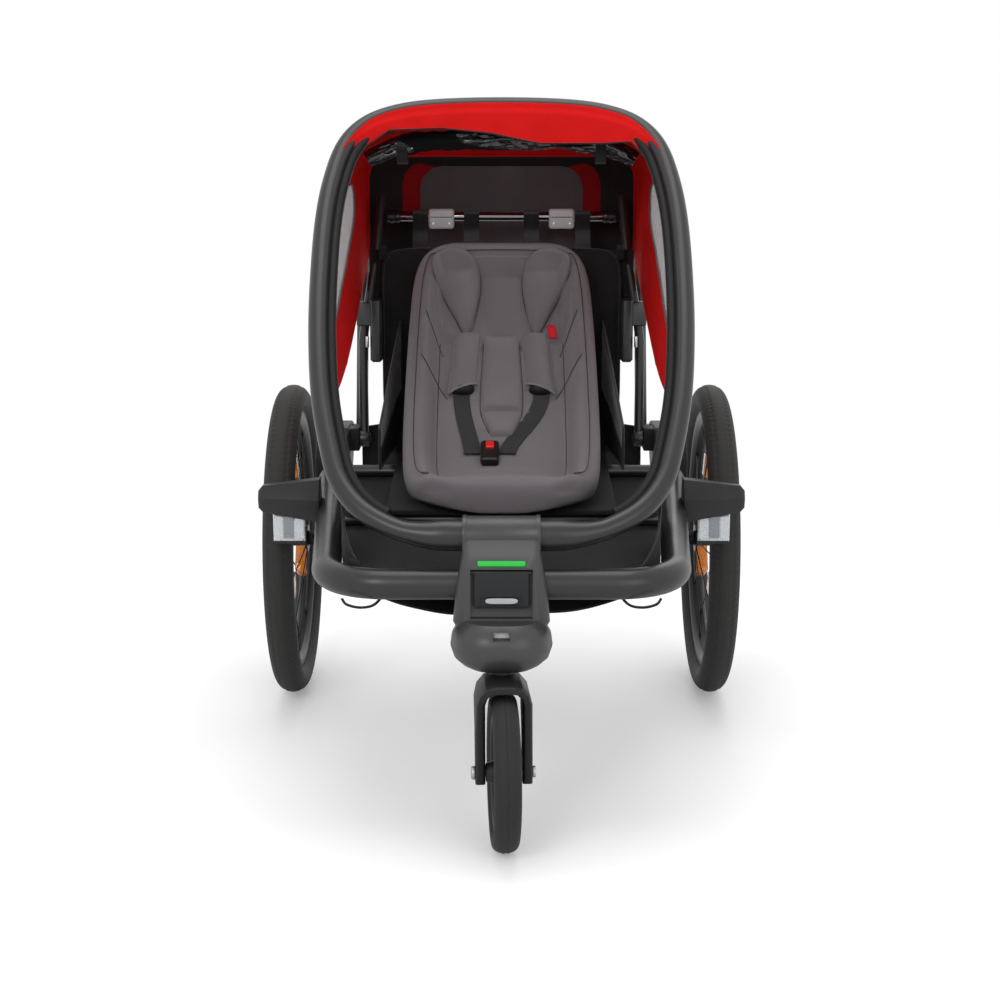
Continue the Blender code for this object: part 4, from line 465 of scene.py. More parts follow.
INSERT_GREY = Woven("insert_grey", (130, 124, 128), 0.88, relief=Relief.KNIT, height=0.00020, mottle=0.06,
                    mottle_pitch=0.09, sheen=0.35)
INSERT_PALE = Woven("insert_pale", (150, 142, 147), 0.85, relief=Relief.KNIT, height=0.00015, mottle=0.05,
                    sheen=0.3)
THREAD_GREY = Thread("thread_grey", (70, 66, 69))
THREAD_BLACK = Thread("thread_black", (14, 14, 15))
THREAD_PALE = Thread("thread_pale", (150, 146, 150))
TAG_RED = Finish("tag_red", (206, 28, 40), relief=Relief.WEAVE, pitch=0.0009)
STUDIO_FLOOR = Finish("studio_floor_finish", (244, 244, 245), 0.55, pitch=0.01, height=0.00002, mottle=0.004)


# Shapes

def make(name: str, points: Places, faces: Sequence[Sequence[int]], finish: Finish,
         sharp: float = 38.0) -> Thing:
    """A mesh object with its finish, its faces turned outward.

    Args:
        name: the object's name.
        points: the places of its corners.
        faces: the corners of each face.
        finish: its surface.
        sharp: edges that turn by more degrees than this stay sharp.

    Returns:
        The object.
    """
    bm = bmesh.new()
    verts = [bm.verts.new(p) for p in points]
    for face in faces:
        bm.faces.new([verts[i] for i in face])
    return from_bmesh(name, bm, finish, sharp)


def from_bmesh(name: str, bm: bmesh.types.BMesh, finish: Finish, sharp: float = 38.0) -> Thing:
    """Turn a bmesh into an object with its finish."""
    bmesh.ops.recalc_face_normals(bm, faces=bm.faces)
    mesh = bpy.data.meshes.new(name)
    bm.to_mesh(mesh)
    bm.free()
    mesh.shade_smooth()
    mesh.set_sharp_from_angle(angle=radians(sharp))
    mesh.materials.append(finish.material())
    obj = bpy.data.objects.new(name, mesh)
    bpy.context.collection.objects.link(obj)
    return obj


def shell(name: str, rings: Sequence[Places], finish: Finish, looped: bool = False,
          sharp: float = 38.0) -> Thing:
    """A closed skin over a row of rings, each with the same number of places.

    Args:
        name: the object's name.
        rings: the rings.
        finish: its surface.
        looped: whether the last ring joins the first, instead of a cap on each.
        sharp: edges that turn by more degrees than this stay sharp.

    Returns:
        The object.
    """
    count, last = len(rings[0]), len(rings) - 1
    faces: List[List[int]] = []
    for i in range(last + looped):
        a, b = i * count, (i + 1) % (last + 1) * count
        faces += [[a + j, a + (j + 1) % count, b + (j + 1) % count, b + j] for j in range(count)]
    if not looped:
        faces += [list(range(count)), [last * count + j for j in range(count)]]
    return make(name, [p for ring in rings for p in ring], faces, finish, sharp)


def slab(name: str, outline: Places, depths: Sequence[float], finish: Finish) -> Thing:
    """A plate: an outline seen from the front, repeated at each depth along y."""
    return shell(name, [[p + Vector((0, d, 0)) for p in outline] for d in depths], finish)


def oblong(low: Vector, high: Vector) -> Line:
    """The four corners of an upright rectangle, at the depth of its low corner."""
    return [Vector((x, low.y, z)) for x, z in ((low.x, low.z), (high.x, low.z), (high.x, high.z), (low.x, high.z))]


def frames(path: Places, closed: bool, up: Optional[Vector] = None) -> List[Tuple[Vector, Vector]]:
    """Two directions across a line at each of its places, turned as little as possible."""
    last = len(path) - 1
    result: List[Tuple[Vector, Vector]] = []
    side = up.copy() if up else Vector((0.3, 0.2, 1.0))
    for i in range(len(path)):
        before = path[i - 1] if i > 0 or closed else path[0]
        after = path[(i + 1) % len(path)] if i < last or closed else path[last]
        along = (after - before).normalized()
        guide = up if up else side
        side = (guide - along * guide.dot(along)).normalized()
        result.append((side, along.cross(side).normalized()))
    return result


def sweep(name: str, path: Places, section: Section, sides: int,
          finish: Finish, closed: bool = False, up: Optional[Vector] = None, sharp: float = 38.0,
          scale: Optional[Sequence[float]] = None) -> Thing:
    """Draw a cross-section along a line.

    Args:
        name: the object's name.
        path: the line.
        section: gives the offsets (side, other side) for a turn 0..1 round and a share 0..1 along.
        sides: how many places the section has.
        finish: its surface.
        closed: whether the line is a loop.
        up: a direction that the section's first axis keeps to.
        sharp: edges that turn by more degrees than this stay sharp.
        scale: how large the section is at each place of the line.

    Returns:
        The object.
    """
    rings: List[Line] = []
    for i, (point, (side, other)) in enumerate(zip(path, frames(path, closed, up))):
        share = i / max(len(path) - 1, 1)
        size = scale[i] if scale else 1.0
        side, other = side * size, other * size
        offsets = [section(j / sides, share) for j in range(sides)]
        rings.append([point + side * a + other * b for a, b in offsets])
    return shell(name, rings, finish, looped=closed, sharp=sharp)


def round_section(a: float, b: float, flare: Optional[Callable[[float], float]] = None) -> Section:
    """An oval section of two radii, scaled by flare along the way."""
    def section(turn: float, share: float) -> Pair:
        """The section's offsets at a turn and a share."""
        size = flare(share) if flare else 1.0
        return a * size * cos(2 * pi * turn), b * size * sin(2 * pi * turn)

    return section


def tube(name: str, path: Places, radius: float, finish: Finish, sides: int = 16,
         closed: bool = False, flare: Optional[Callable[[float], float]] = None) -> Thing:
    """A round bar along a line, its radius scaled by flare along the way."""
    return sweep(name, path, round_section(radius, radius, flare), sides, finish, closed=closed, sharp=60)


def flat_section(width: float, thick: float) -> Section:
    """The section of woven tape: flat, with selvedges a little thicker than its middle."""
    def section(turn: float, share: float) -> Pair:
        """The section's offsets at a turn and a share."""
        angle = 2 * pi * turn
        across = max(min(1.35 * cos(angle), 1.0), -1.0)
        lift = 1.0 if abs(across) > 0.8 else 0.86
        return width / 2 * across, thick / 2 * lift * max(min(2.2 * sin(angle), 1.0), -1.0)

    return section


def lathe(name: str, profile: Sequence[Pair], centre: Vector, axis: Vector, sides: int,
          finish: Finish, sharp: float = 38.0) -> Thing:
    """Turn a profile of (along, radius) round an axis.

    Args:
        name: the object's name.
        profile: the outline, open when it starts and ends on the axis, else a closed loop.
        centre: the place that along is measured from.
        axis: the direction of the axis.
        sides: how many steps round.
        finish: its surface.
        sharp: edges that turn by more degrees than this stay sharp.

    Returns:
        The object.
    """
    axis = axis.normalized()
    across = axis.orthogonal().normalized()
    other = axis.cross(across)
    bm = bmesh.new()
    rows: List[List[bmesh.types.BMVert]] = []
    for along, radius in profile:
        middle = centre + axis * along
        if radius < 1e-6:
            rows.append([bm.verts.new(middle)] * sides)
            continue
        turns = [2 * pi * i / sides for i in range(sides)]
        rows.append([bm.verts.new(middle + (across * cos(a) + other * sin(a)) * radius) for a in turns])
    open_ends = profile[0][1] < 1e-6 and profile[-1][1] < 1e-6
    pairs = list(zip(rows, rows[1:])) + ([] if open_ends else [(rows[-1], rows[0])])
    for near, far in pairs:
        for i in range(sides):
            j = (i + 1) % sides
            corners = [near[i], near[j], far[j], far[i]]
            ring = [v for n, v in enumerate(corners) if v not in corners[:n]]
            if len(ring) > 2:
                bm.faces.new(ring)
    return from_bmesh(name, bm, finish, sharp)


def cloth(name: str, surface: Surface, rows: int, columns: int, thick: float, finish: Finish,
          keep: Optional[Callable[[float, float], bool]] = None, sharp: float = 60.0) -> Thing:
    """A thin sheet laid over a surface.

    Args:
        name: the object's name.
        surface: gives the sheet's middle at (u, v), both 0..1.
        rows: steps along u.
        columns: steps along v.
        thick: the sheet's thickness.
        finish: its surface.
        keep: tells from a cell's middle whether the cell is there.
        sharp: edges that turn by more degrees than this stay sharp.

    Returns:
        The object.
    """
    points = [[surface(i / rows, j / columns) for j in range(columns + 1)] for i in range(rows + 1)]
    normals = [[grid_normal(points, i, j) for j in range(columns + 1)] for i in range(rows + 1)]
    bm = bmesh.new()
    grid = bm.verts.layers.float_vector.new("grid")
    upper: Dict[Tuple[int, int], bmesh.types.BMVert] = {}
    lower: Dict[Tuple[int, int], bmesh.types.BMVert] = {}
    rim: Dict[Tuple[Tuple[int, int], Tuple[int, int]], bool] = {}
    for i in range(rows):
        for j in range(columns):
            if keep and not keep((i + 0.5) / rows, (j + 0.5) / columns):
                continue
            ring = [(i, j), (i + 1, j), (i + 1, j + 1), (i, j + 1)]
            for key in ring:
                if key not in upper:
                    offset = normals[key[0]][key[1]] * thick / 2
                    upper[key] = bm.verts.new(points[key[0]][key[1]] + offset)
                    lower[key] = bm.verts.new(points[key[0]][key[1]] - offset)
                    upper[key][grid] = lower[key][grid] = (key[0] / rows, key[1] / columns, 0.0)
            bm.faces.new([upper[key] for key in ring])
            bm.faces.new([lower[key] for key in reversed(ring)])
            for a, b in zip(ring, ring[1:] + ring[:1]):
                if (b, a) in rim:
                    del rim[b, a]
                else:
                    rim[a, b] = True
    for a, b in rim:
        bm.faces.new((upper[b], upper[a], lower[a], lower[b]))
    return from_bmesh(name, bm, finish, sharp)


def cell_of(obj: Thing, face: bpy.types.MeshPolygon) -> Pair:
    """The (u, v) of a cloth's face, from what the sheet kept of its grid."""
    data = obj.data.attributes["grid"].data
    values = [data[i].vector for i in face.vertices]
    return sum(v[0] for v in values) / len(values), sum(v[1] for v in values) / len(values)


def grid_normal(points: Sequence[Places], i: int, j: int) -> Vector:
    """The direction out of a grid of places at one of them."""
    rows, columns = len(points) - 1, len(points[0]) - 1
    down = points[min(i + 1, rows)][j] - points[max(i - 1, 0)][j]
    across = points[i][min(j + 1, columns)] - points[i][max(j - 1, 0)]
    return down.cross(across).normalized()


def pillow(name: str, surface: Surface, back: Surface, rows: int, columns: int, finish: Finish,
           sharp: float = 50.0) -> Thing:
    """A closed body between a front and a back surface, welded round their edges."""
    bm = bmesh.new()
    grids = []
    for face in (surface, back):
        grids.append([[bm.verts.new(face(i / rows, j / columns)) for j in range(columns + 1)]
                      for i in range(rows + 1)])
    for i in range(rows):
        for j in range(columns):
            ring = [(i, j), (i + 1, j), (i + 1, j + 1), (i, j + 1)]
            bm.faces.new([grids[0][a][b] for a, b in ring])
            bm.faces.new([grids[1][a][b] for a, b in reversed(ring)])
    edge = [(i, 0) for i in range(rows)] + [(rows, j) for j in range(columns)]
    edge += [(i, columns) for i in range(rows, 0, -1)] + [(0, j) for j in range(columns, 0, -1)]
    for a, b in zip(edge, edge[1:] + edge[:1]):
        bm.faces.new((grids[0][b[0]][b[1]], grids[0][a[0]][a[1]], grids[1][a[0]][a[1]], grids[1][b[0]][b[1]]))
    bmesh.ops.remove_doubles(bm, verts=bm.verts, dist=0.00002)
    return from_bmesh(name, bm, finish, sharp)


def stitches(name: str, line: Places, outward: Sequence[Vector], finish: Finish, radius: float = 0.0004) -> Thing:
    """A row of thread stitches along a line on a surface.

    Args:
        name: the object's name.
        line: the places of the line.
        outward: the direction out of the surface at each place, or one for them all.
        finish: the thread's surface.
        radius: half the thread's thickness.

    Returns:
        The object.
    """
    reach = sum((b - a).length for a, b in zip(line, line[1:]))
    count = max(int(reach / STITCH), 1)
    fine = resample(line, count * 3 + 1)
    out = resample(outward, count * 3 + 1) if len(outward) > 1 else [outward[0]] * (count * 3 + 1)
    bm = bmesh.new()
    for n in range(count):
        start, end = fine[n * 3], fine[n * 3 + 2]
        normal = out[n * 3 + 1].normalized()
        side = (end - start).normalized().cross(normal).normalized()
        rings = []
        for share, swell in ((0.0, 0.35), (0.2, 1.0), (0.8, 1.0), (1.0, 0.35)):
            middle = start.lerp(end, share) + normal * radius * 0.4
            rings.append([bm.verts.new(middle + (side * cos(a) * 1.5 + normal * sin(a)) * radius * swell)
                          for a in [pi * 2 * k / 6 for k in range(6)]])
        for near, far in zip(rings, rings[1:]):
            for k in range(6):
                bm.faces.new((near[k], near[(k + 1) % 6], far[(k + 1) % 6], far[k]))
        bm.faces.new(rings[0])
        bm.faces.new(rings[-1])
    return from_bmesh(name, bm, finish, 80)


@dataclass
class Assembly:
    """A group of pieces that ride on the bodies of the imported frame."""

    frame: Dict[str, object]
    pieces: List[Thing] = field(default_factory=list)

    def mount(self, obj: Thing, body: str, *replaced: str) -> Thing:
        """Let a piece ride on a body and stand in for CAD nodes.

        Args:
            obj: the piece, already in its place.
            body: the body it moves with.
            replaced: the CAD nodes that it takes the place of.

        Returns:
            The piece.
        """
        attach(obj, body)
        if replaced:
            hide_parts(*replaced)
        self.pieces.append(obj)
        return obj

    def finer(self, node: str, finish: Finish, width: float) -> Thing:
        """A copy of a hard CAD node with its edges eased.

        Args:
            node: the node's name.
            finish: its surface.
            width: how wide the eased edges are.

        Returns:
            The finer object.
        """
        bm = bmesh.new()
        bm.from_mesh(self.frame["nodes"][node].data)
        bmesh.ops.remove_doubles(bm, verts=bm.verts, dist=0.00001)
        bmesh.ops.dissolve_limit(bm, angle_limit=radians(1.0), verts=bm.verts, edges=bm.edges)
        edges = [e for e in bm.edges if e.is_manifold and e.calc_face_angle(0.0) > radians(30.0)]
        bmesh.ops.bevel(bm, geom=edges, offset=width, segments=2, affect="EDGES", profile=0.5,
                        clamp_overlap=True)
        return from_bmesh(node + "_fine", bm, finish, 50)

    def refine(self, body: str, finish: Finish, *nodes: str, width: float = 0.0010) -> None:
        """Swap hard CAD nodes for copies with eased edges."""
        for node in nodes:
            self.mount(self.finer(node, finish, width), body, node)

    def report(self) -> None:
        """Log every piece of the group."""
        for obj in self.pieces:
            LOG.info("%s: %s, %d faces", type(self).__name__, obj.name, len(obj.data.polygons))


# Measures shared by several pieces

WHEELBASE = 0.720
REAR_WHEEL_R = 0.250
CASTER_WHEEL_R = 0.1015
WHEEL_X = 0.3375
BUMPER_R = 0.020
BUMPER_FRONT_Y = 0.080 - WHEELBASE
BUMPER_FRONT_HALF = 0.232
BUMPER_REAR_HALF = 0.268
BUMPER_CORNER_R = 0.085
BUMPER_Z = (0.3265, 0.362)
MOUNT_FRONT = -0.045
HOOP_R = 0.0205
HOOP_BAR_R = 0.0138
HOOP_PIVOT = (0.1044 - WHEELBASE, 0.385)
HOOP_LEAN = radians(48.4)
HOOP_TOP = 0.731
HOOP_OUTLINE = (
    (0.095, 0.003), (0.142, 0.020), (0.180, 0.046), (0.206, 0.083), (0.220, 0.128),
    (0.237, 0.216), (0.246, 0.316), (0.249, 0.416), (0.2475, 0.516), (0.240, 0.591),
    (0.224, 0.656), (0.195, 0.696), (0.150, 0.718), (0.090, 0.728),
)


class Side(IntEnum):
    """A side of the trailer, with its sign along x."""

    LEFT = -1
    RIGHT = 1

    def of(self, piece: str) -> str:
        """The name of this side's piece."""
        return f"{self.name.lower()}_{piece}"


def along(line: Places, i: int) -> Vector:
    """The direction of an open line at one of its places."""
    return (line[min(i + 1, len(line) - 1)] - line[max(i - 1, 0)]).normalized()


def facing(direction: Vector, place: Vector, goal: Vector) -> Vector:
    """A direction, turned about where it leads away from the goal."""
    return -direction if direction.dot(goal - place) < 0 else direction


def mirrored(points: Places) -> Line:
    """The same places on the other side, in reverse order."""
    return [Vector((-p.x, p.y, p.z)) for p in reversed(points)]


def bumper_height(y: float) -> float:
    """Height of the bumper tube's centre line."""
    run = (y - BUMPER_FRONT_Y) / (MOUNT_FRONT - BUMPER_FRONT_Y)
    return lerp(BUMPER_Z[0], BUMPER_Z[1], max(run, 0.0) ** 1.3)


def bumper_half(y: float) -> float:
    """Half the distance between the bumper's two centre lines."""
    corner_end = BUMPER_FRONT_Y + BUMPER_CORNER_R
    if y < corner_end:
        depth = corner_end - y
        return BUMPER_FRONT_HALF - BUMPER_CORNER_R + sqrt(max(BUMPER_CORNER_R ** 2 - depth ** 2, 0.0))
    run = (y - corner_end) / (MOUNT_FRONT - 0.04 - corner_end)
    return lerp(BUMPER_FRONT_HALF, BUMPER_REAR_HALF, min(run, 1.0))


def bumper_path() -> Line:
    """The bumper's centre line from the left wheel mount round the front to the right one."""
    half = [at(x, BUMPER_FRONT_Y, BUMPER_Z[0]) for x in (0.0, 0.05, 0.10)]
    half.append(at(BUMPER_FRONT_HALF - BUMPER_CORNER_R, BUMPER_FRONT_Y, BUMPER_Z[0]))
    for step in range(1, 15):
        turn = radians(step * 90 / 14)
        y = BUMPER_FRONT_Y + BUMPER_CORNER_R * (1 - cos(turn))
        half.append(at(BUMPER_FRONT_HALF + BUMPER_CORNER_R * (sin(turn) - 1), y, bumper_height(y)))
    start = BUMPER_FRONT_Y + BUMPER_CORNER_R
    for step in range(1, 25):
        y = lerp(start, MOUNT_FRONT - 0.04, step / 24)
        half.append(at(bumper_half(y), y, bumper_height(y)))
    half[-1].z = bumper_height(MOUNT_FRONT)
    half.append(at(BUMPER_REAR_HALF, MOUNT_FRONT - 0.0003, half[-1].z))
    return mirrored(half[1:]) + half


def hoop_axes() -> Tuple[Vector, Vector]:
    """The hoop plane's upward direction and its normal, which points back and down."""
    return (Vector((0, cos(HOOP_LEAN), sin(HOOP_LEAN))),
            Vector((0, sin(HOOP_LEAN), -cos(HOOP_LEAN))))


def hoop_path(steps: int, inset: float = 0.0, back: float = 0.0) -> Line:
    """The ring of the hoop, moved towards its inside and behind its plane."""
    up, normal = hoop_axes()
    foot = at(0, *HOOP_PIVOT)
    points = [foot + Vector((0.060, 0, 0))]
    points += [foot + Vector((x, 0, 0)) + up * t for x, t in HOOP_OUTLINE]
    points += [foot + up * HOOP_TOP, foot + Vector((-0.090, 0, 0)) + up * 0.728]
    right = spline(points, steps)[:-steps]
    ring = right + mirrored(right[:-1])
    middle = foot + up * HOOP_TOP / 2
    moved = []
    for i, point in enumerate(ring):
        tangent = (ring[(i + 1) % len(ring)] - ring[i - 1]).normalized()
        inward = facing(tangent.cross(normal).normalized(), point, middle)
        moved.append(point + inward * inset + normal * back)
    return moved


def hoop_part(line: Places, low: float) -> Line:
    """The places of a ring that lie more than low metres up the hoop's plane."""
    up, _ = hoop_axes()
    foot = at(0, *HOOP_PIVOT)
    return [p for p in line if (p - foot).dot(up) > low]


# Lower frame

class Bumper(Assembly):
    """The lower U tube, its cross tubes, the wheel mounts and the two side arms."""

    def build(self) -> None:
        """Make the tube and carry the hard pieces over with eased edges."""
        bar = tube("bumper_bar", bumper_path(), BUMPER_R, FRAME_PAINT, sides=36)
        self.mount(bar, "base", "bumper_tube")
        self.refine("base", FRAME_PAINT, "rear_cross_tube", "front_seat_tube", "rear_seat_tube", width=0.0008)
        self.refine("base", MOUNT_PLASTIC, "left_wheel_mount", "right_wheel_mount", width=0.0012)
        self.refine("base", ARM_PLASTIC, "left_bumper_arm", "right_bumper_arm", width=0.0018)
        for side in Side:
            self.build_lens(side)

    def build_lens(self, side: Side) -> None:
        """A clear reflector of three bands over a black strip, hung under an arm."""
        node = side.of("arm_reflector")
        self.refine("base", LENS_CLEAR, node, width=0.0008)
        low, high = (Vector(corner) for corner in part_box(node))

        def place(x: float, z: float) -> Vector:
            """A place on its front, in shares of its width and height."""
            return Vector((lerp(low.x, high.x, x), low.y, lerp(low.z, high.z, z)))

        bands = ((0.03, 0.31, 0.0008, LENS_CLEAR), (0.34, 0.66, 0.0014, LENS_WHITE),
                 (0.69, 0.97, 0.0008, LENS_CLEAR))
        for n, (start, end, proud, finish) in enumerate(bands):
            outline = oblong(place(start, 0.16), place(end, 0.90))
            self.mount(slab(side.of(f"lens_band_{n}"), outline, (0.0006, -proud), finish), "base")
        outline = oblong(place(-0.01, 0) + Vector((0, 0, -0.0012)), place(1.01, 0) + Vector((0, 0, 0.0016)))
        self.mount(slab(side.of("lens_foot"), outline, (0.006, -0.0016), BUCKLE_BLACK), "base")


class FloorAndBelly(Assembly):
    """The floor, the foot well under it and the front panels, all fabric."""

    def build(self) -> None:
        """Make the sheets and the loops that hold them."""
        self.build_floor()
        self.build_belly()
        for side in Side:
            self.build_panel(side)
            self.build_corner(side)
            self.build_loop(side)
        self.refine("base", FABRIC_BLACK, "seat_base", width=0.0025)

    def inner_half(self, y: float, extra: float) -> float:
        """Half the width between the bumper's inner faces."""
        corner_end = BUMPER_FRONT_Y + BUMPER_CORNER_R
        if y >= corner_end:
            return bumper_half(y) - BUMPER_R - extra
        depth = corner_end - y
        radius = BUMPER_CORNER_R - BUMPER_R - extra
        return BUMPER_FRONT_HALF - BUMPER_CORNER_R + sqrt(max(radius ** 2 - depth ** 2, 0.0))

    def build_floor(self) -> None:
        """The floor sheet, stretched between the tubes with shallow pulls in it."""
        def surface(u: float, v: float) -> Vector:
            """The sheet's place at (u, v)."""
            y = lerp(-0.596, -0.060, u)
            q = v * 2 - 1
            x = self.inner_half(y, 0.0015) * q
            inside = (1 - q ** 4) * (1 - (2 * u - 1) ** 6)
            pull = billow(x * 9, y * 7, 0.3) * 0.0012 - 0.0005
            return at(x, y, bumper_height(y) + pull * inside)

        floor = cloth("floor_cloth", surface, 60, 48, 0.0024, FABRIC_BLACK)
        self.mount(floor, "base", "floor_pan")

    def build_belly(self) -> None:
        """The foot well hung under the floor, its cloth in soft folds."""
        def surface(u: float, v: float) -> Vector:
            """The sheet's place at (u, v)."""
            y = lerp(-0.594, -0.302, u)
            q = v * 2 - 1
            half = min(0.205, self.inner_half(y, 0.003))
            sag = (1 - abs(q) ** 3.2) * max(sin(pi * lerp(0.42, 1.0, u)), 0.0) ** 0.6
            fold = billow(q * 3.1, u * 2.0, 1.7) * 0.0030 + cos(q * 9) * 0.0010
            return at(half * q, y, bumper_height(y) - 0.0062 - 0.047 * sag + fold * sag ** 0.5)

        belly = cloth("belly_cloth", surface, 44, 72, 0.0018, FABRIC_BLACK)
        self.mount(belly, "base", "belly_fabric")
        for side in Side:
            line = []
            for step in range(30):
                p = surface(0.012, 0.5 + side * step / 29 * 0.485)
                line.append(p + Vector((0, -0.0012, 0.0)))
            hem = tube(side.of("belly_hem"), line, 0.0015, FABRIC_BACK, sides=8)
            self.mount(hem, "base")

    def build_corner(self, side: Side) -> None:
        """The black cloth that closes the rear corner of the tub."""
        def surface(u: float, v: float) -> Vector:
            """The sheet's place at (u, v)."""
            slack = sin(pi * u) * sin(pi * v)
            crease = billow(u * 3, v * 3, side * 5.0) * 0.0020 * slack
            y = 0.0490 + 0.0030 * slack + crease
            return at(side * lerp(0.188, 0.2290, v), y, lerp(0.346, 0.431 - 0.006 * v, u))

        corner = cloth(side.of("corner_cloth"), surface, 24, 14, 0.0016, FABRIC_BLACK)
        self.mount(corner, "base")
        edge = [surface(1.0, k / 14) for k in range(15)]
        self.mount(tube(side.of("corner_binding"), edge, 0.0016, FABRIC_BACK, sides=8), "base")

    def panel_top(self, y: float) -> float:
        """Height of the panel's upper edge under the hoop."""
        hoop_z = HOOP_PIVOT[1] + (y - HOOP_PIVOT[0]) * tan(HOOP_LEAN)
        run = min(max((y + 0.280) / (-0.460 + 0.280), 0.0), 1.0)
        rear = lerp(bumper_height(y) + 0.040, 0.470, run)
        return min(hoop_z - 0.034, rear)

    def build_panel(self, side: Side) -> None:
        """A fabric panel between the hoop and the bumper, with a small tab."""
        path = [p for p in bumper_path() if side * p.x > 0.066 and p.y < AXLE_Y - 0.286]
        line = resample(sorted(path, key=lambda p: (p.y, side * p.x)), 90)

        def surface(u: float, v: float) -> Vector:
            """The sheet's place at (u, v)."""
            i = min(int(u * 89 + 0.5), 89)
            point, run = line[i], along(line, i)
            inward = facing(Vector((-run.y, run.x, 0)).normalized(), point, at(0, -0.300, 0))
            y = point.y - AXLE_Y
            foot = lerp(0.006, 0.0275, ramp(-0.450, -0.395, y))
            low, high = point.z + foot, self.panel_top(y)
            ease = sin(pi * v)
            fold = billow(u * 5, v * 1.4, side * 2.0) * 0.0020 * ease
            return Vector((point.x, point.y, lerp(low, high, v))) + inward * (BUMPER_R + 0.0020 + fold)

        panel = cloth(side.of("front_cloth"), surface, 89, 20, 0.0020, FABRIC_BLACK)
        self.mount(panel, "base", side.of("front_panel"))
        self.sink(panel)
        edge = [surface(u / 88, 1.0) + Vector((0, 0, 0.0006)) for u in range(2, 88)]
        binding = tube(side.of("front_binding"), edge, 0.0017, FABRIC_BACK, sides=8)
        self.mount(binding, "base")
        self.sink(binding)
        if side < 0:
            self.build_tab(surface)

    def sink(self, obj: Thing) -> None:
        """Give a piece of the tub's front its own copy of its mesh."""
        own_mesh(obj)

    def build_tab(self, surface: Surface) -> None:
        """The small square tab sewn to the left panel, at the height of the bumper."""
        share = min((k / 88 for k in range(89)), key=lambda u: abs(surface(u, 0.55).x + 0.187))
        middle = surface(share, 0.55)
        run = (surface(min(share + 0.03, 1.0), 0.55) - surface(share - 0.03, 0.55)).normalized()
        out = -facing(Vector((run.y, -run.x, 0)).normalized(), middle, at(0, -0.300, middle.z))
        corners = ((-1, -0.9), (-0.9, -1), (0.9, -1), (1, -0.9), (1, 0.9), (0.9, 1), (-0.9, 1), (-1, 0.9))
        turned = [run * (a * 0.94 + b * 0.30) + Vector((0, 0, b * 0.94 - a * 0.30)) for a, b in corners]
        rings = [[middle + p * size + out * away for p in turned]
                 for away, size in ((0.0014, 0.0118), (0.0052, 0.0118), (0.0060, 0.0106))]
        tab = shell("front_panel_tab", rings, MOUNT_PLASTIC)
        self.mount(tab, "base")
        self.sink(tab)

    def build_loop(self, side: Side) -> None:
        """A thin elastic loop from the belly's corner round under the bumper."""
        points = [at(side * 0.2045, -0.6495, 0.3095), at(side * 0.1980, -0.6540, 0.3030),
                  at(side * 0.1820, -0.6540, 0.2990), at(side * 0.1660, -0.6420, 0.2985),
                  at(side * 0.1560, -0.6220, 0.3040), at(side * 0.1520, -0.6060, 0.3130)]
        loop = tube(side.of("belly_loop"), spline(points, 8), 0.0018, WEBBING_BLACK, sides=10)
        self.mount(loop, "base")


class FrontHub(Assembly):
    """The box and sleeve at the front, with its lever, lock button and green slit."""

    def build(self) -> None:
        """Carry the hub's pieces over and add the lever's pale inlay."""
        self.refine("base", HUB_PLASTIC, "front_hub", width=0.0012)
        self.refine("base", INDICATOR_GREEN, "hub_indicator", width=0.0006)
        self.refine("lever", LEVER_PLASTIC, "release_lever", width=0.0010)
        self.refine("lock", LOCK_GREY, "lock_button", width=0.0008)
        self.build_inlay()

    def build_inlay(self) -> None:
        """The light grey grip let into the lever."""
        low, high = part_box("release_lever")
        centre = Vector((0.0, low[1], lerp(low[2], high[2], 0.20)))
        turns = [2 * pi * k / 28 for k in range(28)]
        outline = [Vector((0.0205 * blunt(cos(a), 0.35), 0, 0.0036 * blunt(sin(a), 0.8))) for a in turns]
        rings = [[centre + p * grow + Vector((0, depth, 0)) for p in outline]
                 for depth, grow in ((0.0006, 1.0), (-0.0004, 1.0), (-0.0009, 0.94))]
        self.mount(shell("lever_inlay", rings, GREY_INLAY), "lever")


# Wheels

def tyre(name: str, centre: Vector, axis: Vector, outer: float, height: float, width: float, bead: float,
         steps: int, cut: Callable[[int, float], float], finish: Finish) -> Thing:
    """A tyre with its tread cut in the mesh.

    Args:
        name: the object's name.
        centre: the wheel's middle.
        axis: the direction of its axle.
        outer: the tyre's outer radius.
        height: from the rim to the outside.
        width: the tyre's full width.
        bead: the width at the rim.
        steps: how many steps round.
        cut: the depth of the tread for a step and a place -1..1 across.
        finish: its surface.

    Returns:
        The tyre.
    """
    base = outer - height
    angles = [radians(-56 + 292 * k / 40) for k in range(41)]
    profile = [(width / 2 * cos(a), base + height * (0.5 + 0.5 * sin(a)), a) for a in angles]
    axis = axis.normalized()
    across = axis.orthogonal().normalized()
    other = axis.cross(across)
    rings = []
    for i in range(steps):
        turn = 2 * pi * i / steps
        spoke = across * cos(turn) + other * sin(turn)
        ring = []
        for along, radius, angle in profile:
            place = cos(angle)
            tread = ramp(0.15, 0.55, sin(angle))
            ring.append(centre + axis * along + spoke * (radius - cut(i, place) * tread))
        ring += [centre + axis * (-bead / 2) + spoke * base, centre + axis * (bead / 2) + spoke * base]
        rings.append(ring)
    return shell(name, rings, finish, looped=True, sharp=34)


